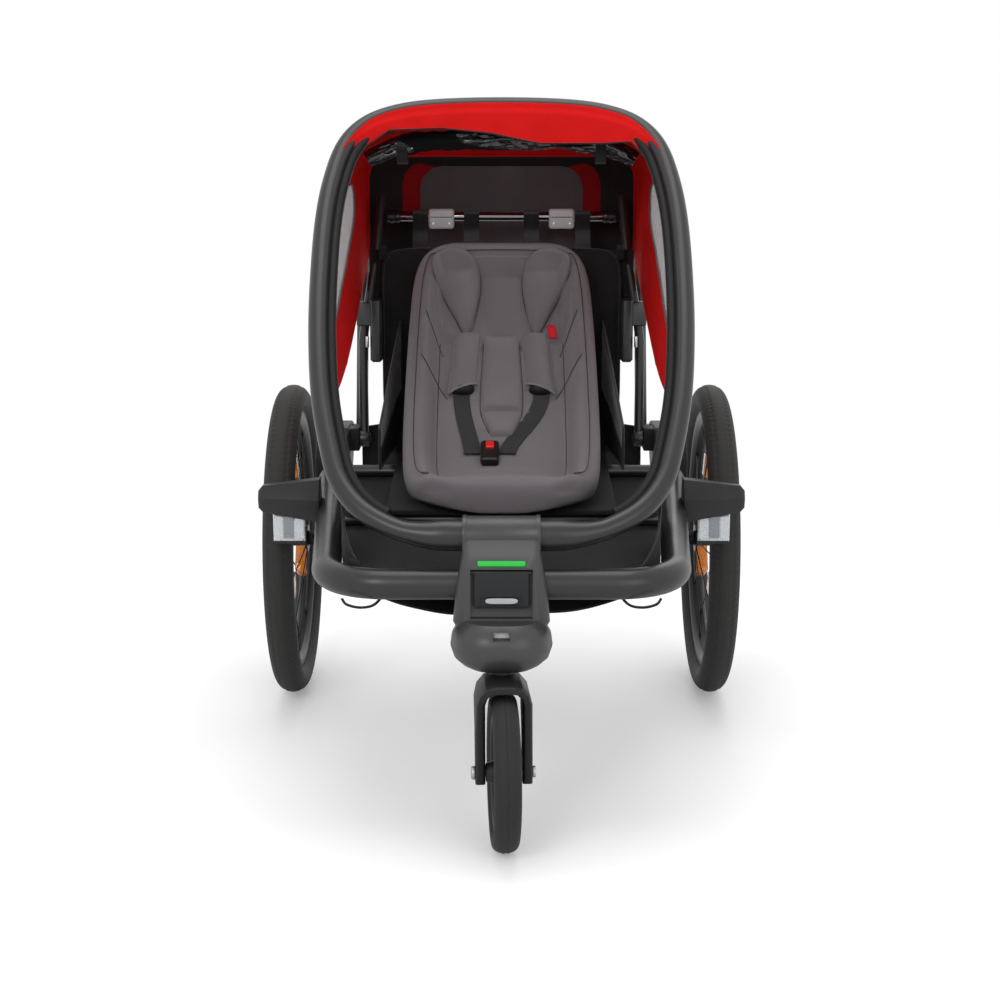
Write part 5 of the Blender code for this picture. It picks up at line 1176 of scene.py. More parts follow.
@dataclass
class RearWheel(Assembly):
    """A 20 inch wheel: tyre, rim, laced spokes, hub, reflectors and axle button."""

    side: Side = Side.LEFT

    @property
    def centre(self) -> Vector:
        """The wheel's middle."""
        return at(self.side * WHEEL_X, 0, REAR_WHEEL_R)

    def build(self) -> None:
        """Make the wheel's pieces."""
        body = self.side.of("rear_wheel")
        axis = ACROSS

        def cut(step: int, place: float) -> float:
            """The tread's depth."""
            ring_groove = max(dip(abs(place), 0.17, 0.030), dip(abs(place), 0.50, 0.035))
            lug = 1.0 if (step + round(abs(place) * 4)) % 4 == 0 else 0.0
            return 0.0012 * ring_groove + 0.0011 * lug * ramp(0.24, 0.30, abs(place))

        wheel_tyre = tyre(self.side.of("tread_tyre"), self.centre, axis, REAR_WHEEL_R, 0.043, 0.047, 0.027,
                          560, cut, TYRE_RUBBER)
        self.mount(wheel_tyre, body, self.side.of("tyre"))
        self.build_rim(body, axis)
        self.build_hub(body, axis)
        self.build_spokes(body)
        self.build_reflectors(body)
        self.refine(self.side.of("axle_release"), AXLE_CAP, self.side.of("axle_button"), width=0.0006)

    def build_reflectors(self, body: str) -> None:
        """The wheel's own reflector and its two copies a third of a turn apart."""
        node = self.side.of("spoke_reflector")
        self.refine(body, LENS_ORANGE, node)
        for n, angle in enumerate((120, 240) if self.side < 0 else (-240, -120)):
            copy = self.finer(node, LENS_ORANGE, 0.0010)
            copy.name = self.side.of(f"reflector_{n}")
            spin = Matrix.Rotation(radians(angle), 4, "X")
            copy.data.transform(Matrix.Translation(self.centre) @ spin @ Matrix.Translation(-self.centre))
            self.mount(copy, body)

    def build_rim(self, body: str, axis: Vector) -> None:
        """The double-walled rim, with rounded shoulders."""
        bead, low = 0.207, 0.189
        profile = [(-0.0130, bead - 0.0010), (-0.0125, bead), (0.0125, bead), (0.0130, bead - 0.0010),
                   (0.0130, bead - 0.0090), (0.0118, bead - 0.0112), (0.0080, low + 0.0012), (0.0060, low),
                   (-0.0060, low), (-0.0080, low + 0.0012), (-0.0118, bead - 0.0112), (-0.0130, bead - 0.0090)]
        rim = lathe(self.side.of("rim"), profile, self.centre, axis, 144, WHEEL_BLACK, sharp=30)
        self.mount(rim, body, self.side.of("wheel"))

    def build_hub(self, body: str, axis: Vector) -> None:
        """The hub shell with its two flanges."""
        right = [(0.0320, 0.0066), (0.0320, 0.0108), (0.0313, 0.0115), (0.0245, 0.0118), (0.0223, 0.0140),
                 (0.0223, 0.0214), (0.0217, 0.0220), (0.0200, 0.0220), (0.0194, 0.0214), (0.0194, 0.0142),
                 (0.0150, 0.0128)]
        profile = right + [(-a, r) for a, r in reversed(right)]
        hub = lathe(self.side.of("hub_shell"), profile, self.centre, axis, 48, WHEEL_BLACK)
        self.mount(hub, body)

    def build_spokes(self, body: str) -> None:
        """Ten spokes from each flange, each with its nipple at the rim."""
        for n in range(20):
            angle = radians(9 + n * 18 + 9)
            lean = 1 if n % 2 == 0 else -1
            outward = Vector((0, cos(angle), sin(angle)))
            root = self.centre + outward * 0.0195 + Vector((lean * 0.0212, 0, 0))
            tip = self.centre + outward * 0.1895 + Vector((lean * 0.0030, 0, 0))
            line = [root.lerp(tip, k / 6) for k in range(7)]
            spoke = tube(self.side.of(f"spoke_{n}"), line, 0.00105, WHEEL_BLACK, sides=10,
                         flare=lambda t: 1.0 + 0.9 * ramp(0.90, 0.935, t))
            self.mount(spoke, body)


class Caster(Assembly):
    """The front wheel in its arched fork."""

    def build(self) -> None:
        """Make the tyre and carry the fork, rim and axle over."""
        self.refine("caster", FORK_PLASTIC, "caster_fork", width=0.0014)
        self.refine("caster", PIN_STEEL, "caster_axle", width=0.0005)
        self.refine("caster_wheel", RIM_PLASTIC, "caster_rim", width=0.0010)
        turn = Matrix.Rotation(radians(3.5), 3, "Z")
        stem = at(0, 0.045 - WHEELBASE, CASTER_WHEEL_R)
        centre = stem + turn @ (at(0, -WHEELBASE, CASTER_WHEEL_R) - stem)

        def cut(step: int, place: float) -> float:
            """The tread's depth."""
            return 0.0011 * max(dip(abs(place), 0.0, 0.05), dip(abs(place), 0.42, 0.05))

        wheel_tyre = tyre("caster_tread_tyre", centre, turn @ Vector((1, 0, 0)), CASTER_WHEEL_R,
                          CASTER_WHEEL_R - 0.078, 0.034, 0.026, 128, cut, CASTER_RUBBER)
        self.mount(wheel_tyre, "caster_wheel", "caster_tyre")


# Hoop and canopy

@dataclass
class Hoop(Assembly):
    """The leaning roll bar with the rubber seal and the piping round its inner lip."""

    lip_inset: float = 0.0108
    lip_back: float = 0.0020
    pipings: Tuple[Tuple[float, float, Finish], ...] = (
        (0.0166, 0.0050, FABRIC_BACK), (0.0150, 0.0100, SEAL_RUBBER))

    def build(self) -> None:
        """Make the ring and what runs round it."""
        up, normal = hoop_axes()
        middle = at(0, *HOOP_PIVOT) + up * HOOP_TOP / 2
        ring = hoop_path(8)
        slim = [ramp(0.070, 0.135, abs(p.x)) if p.z < middle.z else 1.0 for p in ring]
        outer = hoop_path(8, inset=-HOOP_R + HOOP_BAR_R)
        path = [a.lerp(b, k) for a, b, k in zip(ring, outer, slim)]
        bar = sweep("hoop_bar", path, round_section(1.0, 1.0), 40, FRAME_PAINT, closed=True, up=normal, sharp=60,
                    scale=[lerp(HOOP_R, HOOP_BAR_R, k) for k in slim])
        self.mount(bar, "hoop", "main_hoop")
        lip = opened(hoop_part(hoop_path(8, self.lip_inset, self.lip_back), 0.034))
        seal = sweep("seal_lip", lip, round_section(0.0060, 0.0062), 18, SEAL_RUBBER, up=normal, sharp=60)
        self.mount(seal, "hoop", "hoop_seal")
        for n, (inset, back, finish) in enumerate(self.pipings):
            line = opened(hoop_part(hoop_path(8, inset, back), 0.060))
            self.mount(tube(f"hoop_piping_{n}", line, 0.0014, finish, sides=10), "hoop")


def opened(line: Places) -> Line:
    """A hoop line as one run from the right foot over the top to the left foot."""
    start = min(range(len(line)), key=lambda i: (line[i].x < 0, line[i].z))
    ring = list(line[start:]) + list(line[:start])
    return [ring[0]] + ring[:0:-1] if ring[1].z < ring[0].z else ring


def rear_arch(count: int, half: float, top: float) -> Line:
    """Places from right to left round the rear arch, a rectangle with round corners."""
    per_side = count // 2
    corner = min(0.036, half / 2)
    upright = (per_side - 3) // 2 + 1
    across = per_side - 3 - upright
    right = [(half, lerp(0.700, top - corner, i / (upright - 1))) for i in range(upright)]
    for step in (1, 2, 3):
        turn = radians(step * 30)
        right.append((half - corner * (1 - cos(turn)), top - corner * (1 - sin(turn))))
    right += [((half - corner) * (1 - (i + 1) / (across + 1)), top) for i in range(across)]
    ring = right + [(0.0, top)] * (count % 2) + [(-x, z) for x, z in reversed(right)]
    return [at(x, 0.135, z) for x, z in ring]


@dataclass
class Canopy(Assembly):
    """One sheet from the hoop to the rear arch, with clear side windows and the rolled cover."""

    start: float = 0.170
    shell: float = 0.86
    window_from: float = 0.030
    window_heights: Pair = (0.296, 0.578)
    sag: float = 0.048
    window_shape: Tuple[Pair, ...] = ((0.0, 0.0), (0.15, 0.38), (0.35, 0.74), (0.55, 0.96), (0.70, 1.0),
                                      (0.85, 0.97), (0.94, 0.80), (1.0, 0.34))
    columns: Pair = (0.06, 0.50)
    border: Pair = (0.86, 0.94)
    valance_edge: Tuple[Pair, ...] = (
        (-0.2350, 0.840), (-0.205, 0.876), (-0.1663, 0.902), (-0.0917, 0.905), (-0.0172, 0.8976),
        (0.0574, 0.8824), (0.1469, 0.8824), (0.1916, 0.885), (0.2350, 0.838))
    front: Line = field(default_factory=list)
    outer: Line = field(default_factory=list)
    inner: Line = field(default_factory=list)
    window_start: float = 0.0
    window_end: float = 0.0

    def build(self) -> None:
        """Lay the sheet, then everything that is sewn to it."""
        front = opened(hoop_part(hoop_path(2, 0.0020, 0.0132), self.start))
        self.front = spline(front, 6)
        self.outer = spline(rear_arch(len(front), 0.2195, 0.865), 6)
        self.inner = spline(rear_arch(len(front), 0.134, 0.846), 6)
        up, _ = hoop_axes()
        heights = [(p - at(0, *HOOP_PIVOT)).dot(up) for p in self.front]
        places = [next(i for i, t in enumerate(heights) if t > limit) for limit in self.window_heights]
        self.window_start, self.window_end = (i / (len(heights) - 1) for i in places)
        self.build_fabric()
        self.build_valance()
        for side in Side:
            self.build_window(side)
        self.build_flap()
        self.build_roll()
        self.build_edges()

    def pick(self, line: Places, u: float) -> Vector:
        """A place at a share of a line's own steps."""
        place = min(max(u, 0.0), 1.0) * (len(line) - 1)
        i = min(int(place), len(line) - 2)
        return line[i].lerp(line[i + 1], place - i)

    def skin(self, u: float, v: float) -> Vector:
        """A place on the sheet: u over the arch from right to left, v from hoop to rear.

        Args:
            u: 0 at the right foot, 1 at the left.
            v: 0 at the hoop, self.shell at the rear arch, 1 at the flap's rim.

        Returns:
            The place.
        """
        edge, rear = self.pick(self.front, u), self.pick(self.outer, u)
        if v > self.shell:
            share = (v - self.shell) / (1 - self.shell)
            place = rear.lerp(self.pick(self.inner, u), share)
            return place + Vector((0, 0.004 * ramp(0.0, 0.4, share), 0))
        share = v / self.shell
        place = edge.lerp(rear, share)
        outward = Vector((place.x, 0, max(place.z - 0.700, 0.0))).normalized()
        lift = sin(pi * share) * lerp(0.003, 0.012, ramp(0.2, 0.8, outward.z))
        sag = self.sag * ramp(self.window_end, 0.0, min(u, 1 - u)) ** 2
        place = place - Vector((0, 0, sag * sin(pi * share ** 0.85)))
        pull = billow(u * 9, share * 1.6, 2.0) * 0.0032
        pull += sin(u * 61 + share * 4) * 0.0006 * sin(pi * share)
        seam = -0.0012 * dip(share, 0.44, 0.010)
        return place + outward * (lift + (pull + seam) * sin(pi * share) ** 0.6)

    def window_edge(self, u: float) -> float:
        """How far back the window reaches at a place over the arch, as a share of the sheet."""
        near = min(u, 1 - u)
        run = (near - self.window_start) / (self.window_end - self.window_start)
        shape = read_curve(self.window_shape, min(max(run, 0.0), 1.0))
        return self.window_from + lerp(0.03, 0.50, shape)

    def column(self, u: float, c: float) -> float:
        """Turn a column's share into v, so that columns follow the window's rear edge."""
        flap = self.shell + 0.66 * (1 - self.shell)
        marks = (0.0, *self.columns, *self.border, 1.0)
        places = (0.0, self.window_from, self.window_edge(u), self.shell, flap, 1.0)
        return read_table(tuple(zip(marks, places)), c)

    def in_window(self, u: float, c: float) -> bool:
        """Whether a cell belongs to one of the windows."""
        return self.window_start < min(u, 1 - u) < self.window_end and self.columns[0] < c < self.columns[1]

    def build_fabric(self) -> None:
        """The red sheet with its dark rear border and crimson strips beside the flap."""
        fabric = cloth("canopy_cloth", lambda u, c: self.skin(u, self.column(u, c)), 220, 100, 0.0016, FABRIC_RED,
                       keep=lambda u, c: not self.in_window(u, c))
        for finish in (FABRIC_BLACK, FABRIC_CRIMSON):
            fabric.data.materials.append(finish.material())
        border, strip = self.border
        for face in fabric.data.polygons:
            u, c = cell_of(fabric, face)
            if c > border:
                face.material_index = 2 if c > strip and 0.10 < min(u, 1 - u) < 0.262 else 1
        self.soft(fabric, "canopy")

    def soft(self, obj: Thing, *nodes: str) -> Thing:
        """Let a piece ride on the hoop, with its own copy of its mesh."""
        self.mount(obj, "hoop", *nodes)
        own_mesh(obj)
        return obj

    def build_window(self, side: Side) -> None:
        """A clear side window under the sheet's cut edge, with its stitched binding."""
        low, high = self.columns
        start, end = self.window_start, self.window_end

        def place(near: float, c: float, away: float) -> Vector:
            """A place on the sheet, moved in."""
            u = near if side > 0 else 1 - near
            return self.skin(u, self.column(u, c)) - Vector((side * away, 0, 0))

        def film(a: float, b: float) -> Vector:
            """The film's place at (a, b)."""
            wave = billow(a * 5, b * 2, side) * 0.0012
            return place(lerp(start - 0.006, end + 0.006, a), lerp(low - 0.015, high + 0.015, b),
                         0.0016 + wave * sin(pi * b))

        pane = cloth(side.of("window_film"), film, 50, 30, 0.0006, WINDOW_FILM)
        self.soft(pane, side.of("window"))
        rim = [place(lerp(start, end, k / 40), high, 0.0014) for k in range(41)]
        rim += [place(lerp(start, end, 1 - k / 40), low, 0.0014) for k in range(1, 40)]
        binding = tube(side.of("window_binding"), resample(rim, 120, closed=True), 0.0017, FABRIC_BACK,
                       sides=8, closed=True)
        self.soft(binding)
        inner = []
        for k in range(61):
            near = lerp(start + 0.004, end - 0.004, k / 60)
            u = near if side > 0 else 1 - near
            edge = max(self.column(u, high) - 0.022, self.window_from + 0.01)
            inner.append(self.skin(u, edge) - Vector((side * 0.0024, 0, 0)))
        self.soft(stitches(side.of("window_stitches"), inner, [Vector((-side, 0, 0))], THREAD_PALE))

    def build_flap(self) -> None:
        """The charcoal flap that hangs slack in the rear opening."""
        def surface(u: float, v: float) -> Vector:
            """The sheet's place at (u, v)."""
            q = v * 2 - 1
            corner = 0.030 * (1 - sqrt(max(1 - max((u - 0.84) / 0.16, 0.0) ** 2, 0.0)))
            z = lerp(0.656, 0.8490, u)
            slack = (1 - q * q) * sin(pi * (0.15 + 0.7 * u))
            fold = sin(q * 8 + u * 5) * 0.0016 + billow(q * 3.2, u * 2.6, 5) * 0.0050
            drape = dip(u, 0.20 + 0.55 * q * q, 0.10) * 0.0060
            return at((0.1400 - corner) * q, 0.1412 + 0.018 * slack + (fold + drape) * slack ** 0.5, z)

        flap = cloth("flap_cloth", surface, 56, 84, 0.0014, FABRIC_CHARCOAL)
        self.soft(flap, "rear_flap")

    def build_roll(self) -> None:
        """The front cover, rolled up: black mesh inside, creased clear film outside."""
        path = [at(0.203 * q, -0.102, 0.8880 - 0.030 * abs(q) ** 4) for q in [k / 110 - 1 for k in range(221)]]

        def section(turn: float, share: float) -> Pair:
            """The section's offsets at a turn and a share."""
            q = share * 2 - 1
            over, beside = sin(2 * pi * turn), cos(2 * pi * turn)
            swell = 0.0150 + 0.0014 * sin(q * 11) * sin(q * 4.1) - 0.0035 * abs(q) ** 6
            spiral = 0.0020 * (turn - 0.5)
            crease = billow(q * 5 + turn * 3, beside * 2.2, over * 2.2) * 0.0034
            ridge = abs(billow(q * 9, beside * 3.4, over * 3.4 + 4)) * 0.0030
            r = swell + spiral + crease - ridge
            return r * beside, r * over

        roll = sweep("cover_roll", path, section, 56, ROLL_FILM, up=Vector((0, 0, 1)), sharp=45)
        roll.data.materials.append(ROLL_MESH.material())
        for face in roll.data.polygons:
            x, y, z = face.center
            face.material_index = 1 if billow(x * 7, z * 24, y * 24) > 0.10 else 0
        self.mount(roll, "hoop", "rolled_cover")
        for n, x in enumerate((-0.150, 0.150)):
            ring = [at(x, -0.102 + 0.0178 * cos(a), 0.8700 + 0.0178 * sin(a))
                    for a in [2 * pi * k / 28 for k in range(28)]]
            band = sweep(f"roll_strap_{n}", ring, flat_section(0.016, 0.0016), 16, WEBBING_BLACK, closed=True,
                         up=ACROSS)
            self.mount(band, "hoop")

    def build_valance(self) -> None:
        """The red band that wraps the hoop's front and hangs under it, over the rolled cover."""
        up, normal = hoop_axes()
        line = resample(opened(hoop_part(hoop_path(10, inset=-HOOP_R + HOOP_BAR_R), 0.642)), 161)
        middle = at(0, *HOOP_PIVOT) + up * HOOP_TOP / 2
        wrapped = 0.3

        def surface(u: float, v: float) -> Vector:
            """The sheet's place at (u, v)."""
            i = min(int(u * 160 + 0.5), 160)
            tangent = along(line, i)
            inward = facing(tangent.cross(normal).normalized(), line[i], middle)
            ahead = (FORWARD - tangent * FORWARD.dot(tangent)).normalized()
            foremost = atan2(ahead.dot(inward), ahead.dot(-normal))
            top = ramp(0.0, 0.15, min(u, 1 - u))
            turn = lerp(lerp(foremost - 0.02, radians(20), top), foremost, min(v / wrapped, 1.0))
            place = line[i] + (inward * sin(turn) - normal * cos(turn)) * (HOOP_BAR_R + 0.0012)
            if v <= wrapped:
                return place
            hang = (v - wrapped) / (1 - wrapped)
            drop = max(place.z - read_table(self.valance_edge, place.x), 0.001 + 0.004 * top)
            fold = billow(u * 17, hang * 1.2, 3.0) * 0.0030 * hang
            ahead = 0.0046 * ramp(0.0, 0.35, drop * hang / 0.03) * top + fold * top
            return place + Vector((0, -ahead, -drop * hang))

        band = self.mount(cloth("canopy_valance", surface, 160, 30, 0.0014, FABRIC_RED), "hoop")
        hem = [surface(k / 160, 1.0) for k in range(161)]
        self.mount(tube("valance_hem", hem, 0.0012, FABRIC_BACK, sides=8), "hoop")

    def build_edges(self) -> None:
        """The piping along the rear arch and the seams across the roof."""
        rear = [self.skin(k / 160, self.shell) + Vector((0, -0.0022, -0.0016)) for k in range(161)]
        self.soft(tube("rear_arch_piping", rear, 0.0021, FABRIC_RED, sides=10))
        for n, v in enumerate((0.355, 0.402)):
            line = [self.skin(lerp(0.27, 0.73, k / 140), v) - Vector((0, 0, 0.0009)) for k in range(141)]
            self.soft(stitches(f"roof_stitches_{n}", line, [Vector((0, 0, -1))], THREAD_BLACK))
        front = [self.skin(k / 200, 0.012) for k in range(201)]
        self.soft(tube("canopy_front_hem", front, 0.0017, FABRIC_BACK, sides=8))


# Seat frame

@dataclass
class Upright(Assembly):
    """The folding frame behind the seat: posts, harness bar, clamps, belts and the seat back."""

    board_rear: Pair = (-0.066, 0.372)
    back_foot: Pair = (0.0465, 0.4400)
    bar_place: Pair = (0.085, 0.766)

    def build(self) -> None:
        """Make the bar and belts and carry the posts and clamps over."""
        self.refine("upright", FRAME_PAINT, "left_seat_post", "right_seat_post", width=0.0009)
        self.refine("upright", CLAMP_PLASTIC, "left_bar_clamp", "right_bar_clamp", width=0.0012)
        self.build_bar()
        self.build_back()
        for side in Side:
            self.build_belt(side)
            self.build_details(side)
            self.build_gusset(side)
        self.build_joint_cloth()

    def build_bar(self) -> None:
        """The bright bar with its two dark stepped knobs."""
        centre = at(0, *self.bar_place)
        profile = [(-0.166, 0.0), (-0.166, 0.0078), (-0.1655, 0.0080),
                   (0.1655, 0.0080), (0.166, 0.0078), (0.166, 0.0)]
        bar = lathe("harness_rod", profile, centre, ACROSS, 40, BAR_CHROME)
        self.mount(bar, "upright", "harness_bar")
        for side in Side:
            outline = [(0.1640, 0.0), (0.1640, 0.0086), (0.1652, 0.0098), (0.1700, 0.0104), (0.1712, 0.0094),
                       (0.1736, 0.0094), (0.1748, 0.0105), (0.1800, 0.0105), (0.1812, 0.0094), (0.1838, 0.0094),
                       (0.1850, 0.0104), (0.1872, 0.0096), (0.1876, 0.0)]
            knob = lathe(side.of("bar_knob"), outline, centre, Vector((side, 0, 0)), 40, BUCKLE_BLACK)
            self.mount(knob, "upright")

    def build_joint_cloth(self) -> None:
        """The black fabric that joins the seat board's rear edge to the seat back's foot."""
        (start, low), (end, high) = self.board_rear, self.back_foot

        def surface(u: float, v: float) -> Vector:
            """The sheet's place at (u, v)."""
            slack = sin(pi * u) * 0.010 + billow(v * 7, u * 2, 8.0) * 0.003 * sin(pi * u)
            return at(lerp(-0.192, 0.192, v), lerp(start, end, u), lerp(low, high, u) - slack)

        joint = cloth("seat_joint_cloth", surface, 24, 70, 0.0014, FABRIC_BLACK)
        at(0, start, low)
        at(0, end, high)
        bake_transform(joint)

    def build_gusset(self, side: Side) -> None:
        """The black fabric between the seat back's edge and the post."""
        def surface(u: float, v: float) -> Vector:
            """The sheet's place at (u, v)."""
            sag = sin(pi * u) * sin(pi * v) * 0.004
            crease = billow(u * 4, v * 2, side * 3.0) * 0.0012
            x = lerp(0.1885, 0.2135 - 0.010 * (1 - ramp(0.0, 0.25, u)), v)
            return at(side * x, 0.0475 + sag + crease, lerp(0.572, 0.7150, u))

        gusset = cloth(side.of("gusset_cloth"), surface, 40, 10, 0.0014, FABRIC_BLACK)
        self.mount(gusset, "upright")

    def build_details(self, side: Side) -> None:
        """The clamp's parting slot and screws, the post's pin and the seat back's tab."""
        for n, (dx, dz) in enumerate(((-0.013, -0.0105), (0.013, -0.0105))):
            centre = at(side * 0.0975 + dx, 0.0722, 0.766 + dz)
            head = [(-0.0004, 0.0), (-0.0004, 0.0024), (0.0004, 0.0026), (0.0012, 0.0021), (0.0013, 0.0)]
            self.mount(lathe(side.of(f"clamp_screw_{n}"), head, centre, Vector((0, -1, 0)), 20, PIN_STEEL),
                       "upright")
        middle, half = at(side * 0.0975, 0.0725, 0.7655), Vector((0.0170, 0, 0.0006))
        slot = slab(side.of("clamp_slot"), oblong(middle - half, middle + half), (0.0006, -0.0005), BUCKLE_BLACK)
        self.mount(slot, "upright")
        pin = [(-0.009, 0.0), (-0.009, 0.0024), (-0.0082, 0.0028), (0.0082, 0.0028), (0.009, 0.0024), (0.009, 0.0)]
        self.mount(lathe(side.of("post_pin"), pin, at(side * 0.2160, 0.0165, 0.5690), Vector((0, 0, 1)), 20,
                         PIN_STEEL), "upright")
        path = [at(side * 0.1905, 0.0325 - 0.004 * sin(pi * s), lerp(0.700, 0.7225, s))
                for s in [k / 11 for k in range(12)]]
        tab = sweep(side.of("back_tab"), path, flat_section(0.012, 0.0022), 16, WEBBING_BLACK, up=ACROSS)
        self.mount(tab, "upright")

    def build_belt(self, side: Side) -> None:
        """Two runs of webbing looped over the bar and joined behind the seat back."""
        hug = 0.0080 + 0.0010 + 0.00045
        behind = 0.036 + 0.014 + 0.0010 + 0.0006
        for n, x in enumerate((0.1315, 0.0485)):
            path = [at(side * x, 0.085 + hug, 0.750)]
            path += [at(side * x, 0.085 + hug * cos(a), 0.766 + hug * sin(a))
                     for a in [pi * k / 12 for k in range(13)]]
            knots = [path[-1], at(side * x, 0.0735, 0.746), at(side * x, behind + 0.006, 0.721),
                     at(side * x, behind, 0.699), at(side * x, behind, 0.598)]
            path += spline(knots, 8)[1:]
            belt = sweep(side.of(f"belt_{n}"), resample(path, 70), flat_section(0.0245, 0.0019), 24,
                         WEBBING_BLACK, up=ACROSS)
            self.mount(belt, "upright", *([side.of("shoulder_belt")] if n == 0 else []))
            length = sum((b - a).length for a, b in zip(path, path[1:]))
        outline = oblong(at(side * 0.0365, behind, 0.5965), at(side * 0.1435, behind, 0.6195))
        self.mount(slab(side.of("belt_link"), outline, (-0.0012, 0.0012), WEBBING_BLACK), "upright")

    def build_back(self) -> None:
        """The padded seat back with piped edges and a shallow crown."""
        half, low, high = 0.1912, 0.4325, 0.7165

        def outline(u: float, v: float) -> Tuple[float, float, float]:
            """Across, up and how far inside at (u, v)."""
            a, b = v * 2 - 1, u * 2 - 1
            x = a * half * sqrt(1 - 0.035 * b ** 8)
            z = lerp(low, high, 0.5 + b * 0.5 * sqrt(1 - 0.030 * a ** 8))
            return x, z, (1 - a ** 8) * (1 - b ** 8)

        def front(u: float, v: float) -> Vector:
            """The front's place at (u, v)."""
            x, z, inside = outline(u, v)
            pull = billow(x * 16, z * 14, 1.0) * 0.0014
            return at(x, 0.0405 - 0.0042 * inside ** 0.5 + pull * inside, z)

        def back(u: float, v: float) -> Vector:
            """The underside's place at (u, v)."""
            x, z, inside = outline(u, v)
            return at(x, 0.0455 + 0.0042 * inside ** 0.5, z)

        board = pillow("seat_back_cover", front, back, 60, 80, FABRIC_BLACK)
        self.mount(board, "upright", "seat_back")
        rim = []
        for turn in [2 * pi * k / 200 for k in range(200)]:
            x, z, _ = outline(blunt(sin(turn), 0.16) / 2 + 0.5, blunt(cos(turn), 0.16) / 2 + 0.5)
            rim.append(at(x, 0.0392, z))
        rim = resample(rim, 240, closed=True)
        self.mount(tube("seat_back_piping", rim, 0.0019, FABRIC_BACK, sides=8, closed=True), "upright")


# Seat insert, pads, harness and mesh wings

@dataclass(frozen=True)
class PadOutline:
    """A pad's outline on the insert, in shares of its length and metres across.

    square is 0 for square corners and 1 for a round outline, slant the metres by which the upper end leans
    outward, and taper the share by which the lower end is narrower.
    """

    centre: Pair
    halves: Pair
    square: float = 0.5
    slant: float = 0.0
    taper: float = 0.0

    def spread(self, a: float, b: float) -> Pair:
        """The share of length and metres across at a and b, both -1..1."""
        s = self.centre[0] + self.halves[0] * a * sqrt(1 - self.square * b * b / 2)
        half = self.halves[1] * (1 - self.taper * (0.5 - 0.5 * a) ** 1.4)
        return s, self.centre[1] + half * b * sqrt(1 - self.square * a * a / 2) + self.slant * a


def tree_of(places: Places) -> KDTree:
    """A search tree over some places."""
    tree = KDTree(len(places))
    for i, place in enumerate(places):
        tree.insert(place, i)
    tree.balance()
    return tree


COVER_CLOTH = {"quality": 5, "mass": 0.2, "tension_stiffness": 22, "compression_stiffness": 16,
               "bending_stiffness": 0.6, "use_pressure": True, "uniform_pressure_force": 4.0,
               "vertex_group_mass": "seams"}
COVER_VOXEL = 0.005


def puff(obj: Thing, pins: Places, near: float, cap: float) -> None:
    """Let a padded piece fill out like a stuffed cover, held along its seams.

    Args:
        obj: the piece, a closed body.
        pins: places along the seams, which stay where they are.
        near: how close to a seam the cover is held.
        cap: the furthest that any place may move.
    """
    remesh = obj.modifiers.new("remesh", "REMESH")
    remesh.mode = "VOXEL"
    remesh.voxel_size = COVER_VOXEL
    remesh.use_smooth_shade = True
    finishes = list(obj.data.materials)
    shape = bpy.data.meshes.new_from_object(obj.evaluated_get(bpy.context.evaluated_depsgraph_get()))
    obj.modifiers.clear()
    obj.data = shape
    shape.materials.clear()
    for finish in finishes:
        shape.materials.append(finish)
    tree = tree_of(pins)
    group = obj.vertex_groups.new(name="seams")
    start = [v.co.copy() for v in shape.vertices]
    for i, place in enumerate(start):
        gap = tree.find(place)[2]
        group.add([i], 1.0 - 0.9 * ramp(near * 0.6, near * 1.6, gap) if gap < near * 1.6 else 0.0, "REPLACE")
    modifier = obj.modifiers.new("cover", "CLOTH")
    modifier.settings.effector_weights.gravity = 0.0
    for key, value in COVER_CLOTH.items():
        setattr(modifier.settings, key, value)
    modifier.point_cache.frame_start = 1
    modifier.point_cache.frame_end = 20
    scene = bpy.context.scene
    for frame in range(1, 21):
        scene.frame_set(frame)
    puffed = obj.evaluated_get(bpy.context.evaluated_depsgraph_get()).to_mesh()
    moved = [v.co.copy() for v in puffed.vertices]
    obj.modifiers.clear()
    for i, vertex in enumerate(shape.vertices):
        step = moved[i] - start[i]
        if step.length > cap:
            step *= cap / step.length
        vertex.co = start[i] + step
    scene.frame_set(1)
    bm = bmesh.new()
    bm.from_mesh(shape)
    bmesh.ops.smooth_vert(bm, verts=bm.verts, factor=0.35, use_axis_x=True, use_axis_y=True, use_axis_z=True)
    bmesh.ops.subdivide_edges(bm, edges=bm.edges, cuts=1, smooth=1.0, use_grid_fill=True)
    bm.to_mesh(shape)
    bm.free()
    shape.shade_smooth()


